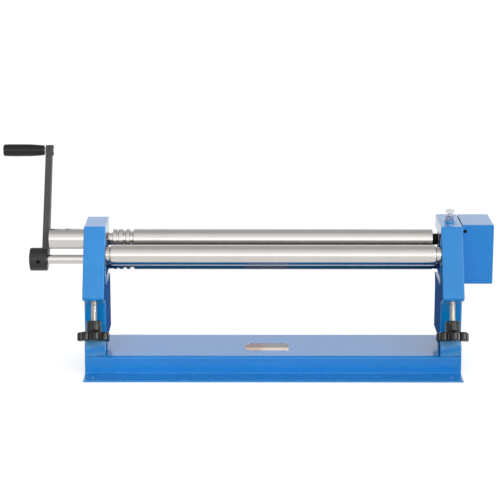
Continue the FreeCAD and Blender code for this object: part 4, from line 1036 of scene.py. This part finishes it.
class SLIPROLL_OT_grip(Operator):
    """Moulds the turning grip"""
    bl_idname = "sliproll.grip"
    bl_label = "Handle grip"

    def execute(self, context):
        low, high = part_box("handle_grip")
        span = high.x - low.x
        bore = 5.05 * MM
        mouth = 7.55 * MM
        mouth_depth = 7.2 * MM
        profile = ((0, 10.6), (0.03, 11.5), (0.14, 11.95), (0.35, 12), (0.65, 11.8), (0.85, 10.9),
                   (0.988, 9.6), (1, 9))
        corners = [(low.x, mouth)]
        corners += [(low.x + share * span, radius * MM) for share, radius in profile]
        corners.append((high.x, bore))
        rows = eased(corners, 2.2 * MM, 5) + [(low.x + mouth_depth, bore), (low.x + mouth_depth, mouth)]
        grip = piece_from(lathe(rows, along_x(GRIP_AXIS), closed=True), "moulded_grip")
        settle(grip, moulded_phenolic, "grip", "black_plastic", "handle_grip")
        return {"FINISHED"}


def star_knob(side, first_turn, sizes, matrix):
    """A star knob: a fluted hub that spreads into a star of round lobes."""
    lobes = sizes.star_lobes
    half = sizes.star_diameter / 2
    lobe = 8 * MM
    lobe_centre = half - lobe
    body = 23 * MM
    blend = 10
    hub_top = -125 * MM
    star_top = -146 * MM
    bottom = -163 * MM
    hub = 13.5 * MM
    bore = 6.02 * MM
    bore_floor = hub_top - 4 * MM
    rim = ((0, 4), (0.4, 1.8), (1.4, 0.5), (3, 0))

    def star_radius(turn):
        """Reach of the star's outline: a round body with round lobes, blended."""
        nearest = (turn + math.pi / lobes) % (2 * math.pi / lobes) - math.pi / lobes
        aside = lobe_centre * math.sin(nearest)
        reach = 0.0
        if abs(aside) < lobe:
            reach = lobe_centre * math.cos(nearest) + math.sqrt(lobe ** 2 - aside ** 2)
        return ((reach / MM) ** blend + (body / MM) ** blend) ** (1 / blend) * MM

    def starred(share):
        """A form between round at 0 and the star at 1."""
        return lambda turn: (1 - share) + share * star_radius(turn - first_turn) / half

    def flutes(turn):
        """Reach of the hub's outline: round, with narrow shallow flutes for the fingers."""
        return 1 - 0.05 * max(0, math.cos(lobes * 2 * (turn - first_turn))) ** 6

    rows = [(bore_floor, 0), (bore_floor, bore), (hub_top, bore), (hub_top, hub - 1.5 * MM),
            (hub_top - 0.5 * MM, hub - 0.5 * MM, flutes), (hub_top - 1.6 * MM, hub, flutes),
            (star_top + 5 * MM, hub + 0.3 * MM, flutes), (star_top + 2 * MM, hub + 1.2 * MM),
            (star_top + 0.8 * MM, hub + 3 * MM, starred(0.25)),
            (star_top + 0.2 * MM, hub + 7 * MM, starred(0.7))]
    rows += [(star_top - drop * MM, half - inset * MM, starred(1)) for drop, inset in rim]
    rows += [(bottom + rise * MM, half - inset * MM, starred(1)) for rise, inset in reversed(rim)]
    rows += [(bottom, 20 * MM, starred(0.5)), (bottom, 8 * MM), (bottom, 0)]
    return piece_from(skin(rings_of(rows, lobes * 24), matrix), "moulded_%s_star" % side)


class SLIPROLL_OT_adjusters(Operator):
    """Cuts the adjusting screws and moulds their star knobs"""
    bl_idname = "sliproll.adjusters"
    bl_label = "Adjusting screws and star knobs"

    def execute(self, context):
        sizes = context.scene.slip_roll_sizes
        top = -11.1 * MM
        tip = 4 * MM
        groove = 2.5 * MM
        groove_top = -13.48 * MM
        groove_bottom = -16.52 * MM
        shoulder = -19.1 * MM
        core = 5 * MM
        thread = 6 * MM
        thread_end = -130 * MM
        bottom = -159 * MM
        for side, first_turn in (("left", math.pi), ("right", -math.pi / 2)):
            body = side + "_knob"
            line = along_screw(joint_vector(side + "_knob_turn", "pos_m"))
            settle(star_knob(side, first_turn, sizes, line), moulded_phenolic, body, "black_plastic",
                   side + "_star_knob")
            rings = rings_of([(top, 0), (top, tip), (groove_top, tip), (groove_top, groove),
                              (groove_bottom, groove), (groove_bottom, tip), (shoulder, tip),
                              (shoulder, core)], SCREW_COLUMNS)
            rings += thread_rings(shoulder - 1 * MM, thread_end, thread, sizes.adjust_pitch, SCREW_COLUMNS)
            rings += rings_of([(thread_end - 0.2 * MM, thread), (bottom, thread), (bottom, 0)],
                              SCREW_COLUMNS)
            screw = piece_from(skin(rings, line), "cut_%s_screw" % side, weighted=False)
            settle(screw, lathe_turned_steel, body, "machined_steel", side + "_adjust_screw")
        return {"FINISHED"}


class SLIPROLL_OT_clamp(Operator):
    """Cuts the clamp bolt and its lock nut"""
    bl_idname = "sliproll.clamp"
    bl_label = "Clamp bolt"

    def execute(self, context):
        sizes = context.scene.slip_roll_sizes
        low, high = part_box("clamp_bolt")
        centre = middle_of("clamp_bolt")
        head = 6.4 * MM
        tip = 4 * MM
        neck = 4.5 * MM
        thread = 5 * MM
        thread_end = -0.2 * MM
        into_head = 0.5 * MM
        bottom = low.z - high.z + head
        seat = placed((centre.x, centre.y, high.z - head), QUARTER / 3)
        rings = rings_of([(bottom, 0), (bottom, tip)], SCREW_COLUMNS)
        rings += thread_rings(bottom + 1 * MM, thread_end, thread, sizes.clamp_pitch, SCREW_COLUMNS)
        rings += rings_of([(into_head, neck), (into_head, 0)], SCREW_COLUMNS)
        bolt = piece_from(join([hex_head(high.y - low.y, head, seat), skin(rings, seat)]), "cut_clamp_bolt")
        settle(bolt, bright_zinc_plate, "clamp_screw", "zinc_steel", "clamp_bolt")
        low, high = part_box("clamp_locknut")
        nut = hex_head(high.y - low.y, high.z - low.z, placed((centre.x, centre.y, low.z), QUARTER / 4),
                       both_ends=True, hole=5.05 * MM)
        # The lock nut gets the blue-tinted zinc: a painted reflection of the frame.
        settle(piece_from(nut, "cut_locknut"), zinc_painted_blue_reflection, "root", "zinc_steel", "clamp_locknut")
        coat_solids(bearing_bronze, "clamp_pad")
        return {"FINISHED"}


class SLIPROLL_OT_gears(Operator):
    """Finishes the feed gears with their keys, washers and screws"""
    bl_idname = "sliproll.gears"
    bl_label = "Gears"

    def execute(self, context):
        coat_solids(milled_steel, "drive_gear", "upper_gear", "drive_gear_key", "upper_gear_key")
        coat_solids(bright_zinc_plate, "drive_gear_washer", "upper_gear_washer", "drive_gear_screw",
                    "upper_gear_screw")
        return {"FINISHED"}


class SLIPROLL_OT_fasteners(Operator):
    """Finishes the foot bolts and washers under the base"""
    bl_idname = "sliproll.fasteners"
    bl_label = "Foot bolts"

    def execute(self, context):
        coat_solids(bright_zinc_plate, "foot_bolts", "foot_washers")
        return {"FINISHED"}


class SLIPROLL_OT_plate(Operator):
    """Finishes the blank rating plate and domes its rivets"""
    bl_idname = "sliproll.plate"
    bl_label = "Rating plate"

    def execute(self, context):
        coat_solids(etched_aluminium_plate, "rating_plate")
        low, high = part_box("plate_rivets")
        radius = 2.2 * MM
        dome = [(0, 0)] + arc((0, 0), high.z - low.z, radius, QUARTER, 0, 6)
        heads = [lathe(dome, placed((x, y, low.z)), 32)
                 for x in (low.x + radius, high.x - radius) for y in (low.y + radius, high.y - radius)]
        rivets = piece_from(join(heads), "domed_rivets")
        settle(rivets, bright_zinc_plate, "root", "plate_aluminium", "plate_rivets")
        return {"FINISHED"}


def softbox(name, place, aim, wide, high, radiance):
    """A soft rectangular lamp at a place, aimed at another, with its sides in metres."""
    lamp = bpy.data.lights.new(name, "AREA")
    lamp.shape = "RECTANGLE"
    lamp.size = wide
    lamp.size_y = high
    lamp.energy = radiance * math.pi * wide * high
    box = bpy.data.objects.new(name, lamp)
    box.location = place
    box.rotation_euler = (Vector(aim) - Vector(place)).to_track_quat("-Z", "Y").to_euler()
    bpy.context.scene.collection.objects.link(box)
    return box


def studio_world(studio):
    """The world: a pale backdrop under a dimmer ceiling, brighter towards the front, with flags at
    both sides that only shade matt surfaces."""
    world = bpy.data.worlds.new("studio_world")
    world.use_nodes = True
    tree = world.node_tree
    tree.nodes.clear()
    direction = add(tree, "ShaderNodeTexCoord").outputs["Generated"]
    parts = add(tree, "ShaderNodeSeparateXYZ", links=[("Vector", direction)])
    front = studio.ceiling_light + studio.front_glow
    backdrop_edge = (0.655, 0.705)
    left_flag = (-0.3, -0.8, 0.9, 0.05)
    right_flag = (0.35, 0.9, 1.0, 0.55)
    low, high = [add(tree, "ShaderNodeMapRange",
                     [("From Min", 0.0), ("From Max", -1.0), ("To Min", behind), ("To Max", front)],
                     [("Value", parts.outputs["Y"])]).outputs["Result"]
                 for behind in (studio.backdrop_light, studio.ceiling_light)]
    above = add(tree, "ShaderNodeMapRange", [("interpolation_type", "SMOOTHSTEP"),
                                             ("From Min", backdrop_edge[0]), ("From Max", backdrop_edge[1])],
                [("Value", parts.outputs["Z"])])
    sky = add(tree, "ShaderNodeMix", [("data_type", "FLOAT")],
              [(SHARE, above.outputs["Result"]), (NUMBER_A, low), (NUMBER_B, high)])
    flags = [add(tree, "ShaderNodeMapRange",
                 [("interpolation_type", "SMOOTHSTEP"), ("From Min", start), ("From Max", end),
                  ("To Min", clear), ("To Max", dim)],
                 [("Value", parts.outputs["X"])]).outputs["Result"]
             for start, end, clear, dim in (left_flag, right_flag)]
    flagged = add(tree, "ShaderNodeMath", [("operation", "MULTIPLY")], list(enumerate(flags)))
    path = add(tree, "ShaderNodeLightPath")
    shade = add(tree, "ShaderNodeMix", [("data_type", "FLOAT"), (NUMBER_A, 1.0)],
                [(SHARE, path.outputs["Is Diffuse Ray"]), (NUMBER_B, flagged.outputs["Value"])])
    level = add(tree, "ShaderNodeMath", [("operation", "MULTIPLY")],
                [(0, sky.outputs[MIXED_NUMBER]), (1, shade.outputs[MIXED_NUMBER])])
    background = add(tree, "ShaderNodeBackground", [("Color", (1, 1, 1, 1))],
                     [("Strength", level.outputs["Value"])])
    add(tree, "ShaderNodeOutputWorld", links=[("Surface", background.outputs["Background"])])
    return world


class SLIPROLL_OT_stage(Operator):
    """Lays the floor and sets the world, the softboxes and the camera"""
    bl_idname = "sliproll.stage"
    bl_label = "Studio"

    def execute(self, context):
        scene = context.scene
        studio = scene.slip_roll_studio
        mesh = bmesh.new()
        bmesh.ops.create_grid(mesh, x_segments=1, y_segments=1, size=20)
        floor = piece_from(mesh, "studio_floor", weighted=False)
        floor.location.z = -0.05 * MM
        floor.data.materials.append(finish(pale_studio_floor))
        scene.world = studio_world(studio)

        machine = (0, 0, 0.2)
        softbox("front_softbox", place=(-1.6, -4.4, 1.45), aim=machine, wide=5.0, high=1.0,
                radiance=studio.front_light)
        gridded = softbox("gridded_softbox", place=(-1.0, -2.6, 1.6), aim=(-0.45, 0, 0.22), wide=0.9,
                          high=0.9, radiance=studio.grid_light)
        gridded.data.spread = math.radians(20)
        gridded.visible_glossy = False
        softbox("side_strip", place=(2.8, -3.0, 1.5), aim=machine, wide=0.6, high=2.2,
                radiance=studio.side_light)
        for name, place in (("near_edge_strip", (1.5, -3.7, 1.6)), ("far_edge_strip", (3.2, -1.9, 1.4))):
            strip = softbox(name, place, aim=machine, wide=0.35, high=2.0, radiance=studio.edge_light)
            strip.visible_diffuse = False

        lens = bpy.data.cameras.new("studio_camera")
        lens.sensor_width = 36
        lens.lens = studio.focal_length
        lens.shift_x, lens.shift_y = studio.camera_shift
        camera = bpy.data.objects.new("studio_camera", lens)
        camera.location = (studio.camera_side, -studio.camera_distance, studio.camera_height)
        camera.rotation_euler = (QUARTER - studio.camera_pitch, studio.camera_roll, 0)
        scene.collection.objects.link(camera)
        scene.camera = camera
        scene.view_settings.view_transform = "Standard"
        return {"FINISHED"}


OPERATORS = (
    SLIPROLL_OT_castings, SLIPROLL_OT_base, SLIPROLL_OT_gear_cover, SLIPROLL_OT_rollers, SLIPROLL_OT_sleeve,
    SLIPROLL_OT_bearings, SLIPROLL_OT_crank, SLIPROLL_OT_grip, SLIPROLL_OT_adjusters, SLIPROLL_OT_clamp,
    SLIPROLL_OT_gears, SLIPROLL_OT_fasteners, SLIPROLL_OT_plate, SLIPROLL_OT_stage,
)


class SLIPROLL_PT_panel(Panel):
    """Lists the colours, sizes and building steps of the slip roll"""
    bl_idname = "SLIPROLL_PT_panel"
    bl_label = "Slip Roll"
    bl_space_type = "VIEW_3D"
    bl_region_type = "UI"
    bl_category = "Slip Roll"

    def draw(self, context):
        for group in (context.scene.slip_roll_colours, context.scene.slip_roll_sizes,
                      context.scene.slip_roll_studio):
            box = self.layout.box()
            for name in group.__annotations__:
                box.prop(group, name)
        column = self.layout.column(align=True)
        for operator in OPERATORS:
            column.operator(operator.bl_idname)


CLASSES = (SlipRollColours, SlipRollSizes, SlipRollStudio) + OPERATORS + (SLIPROLL_PT_panel,)


def register():
    """Registers the classes and hangs the properties on the scene."""
    for item in CLASSES:
        bpy.utils.register_class(item)
    bpy.types.Scene.slip_roll_colours = PointerProperty(type=SlipRollColours)
    bpy.types.Scene.slip_roll_sizes = PointerProperty(type=SlipRollSizes)
    bpy.types.Scene.slip_roll_studio = PointerProperty(type=SlipRollStudio)


def unregister():
    """Takes the properties and classes away again."""
    del bpy.types.Scene.slip_roll_studio
    del bpy.types.Scene.slip_roll_sizes
    del bpy.types.Scene.slip_roll_colours
    for item in reversed(CLASSES):
        bpy.utils.unregister_class(item)


def main():
    """Builds the whole model."""
    register()
    for operator in OPERATORS:
        family, step = operator.bl_idname.split(".")
        getattr(getattr(bpy.ops, family), step)()


if __name__ == "__main__":
    main()
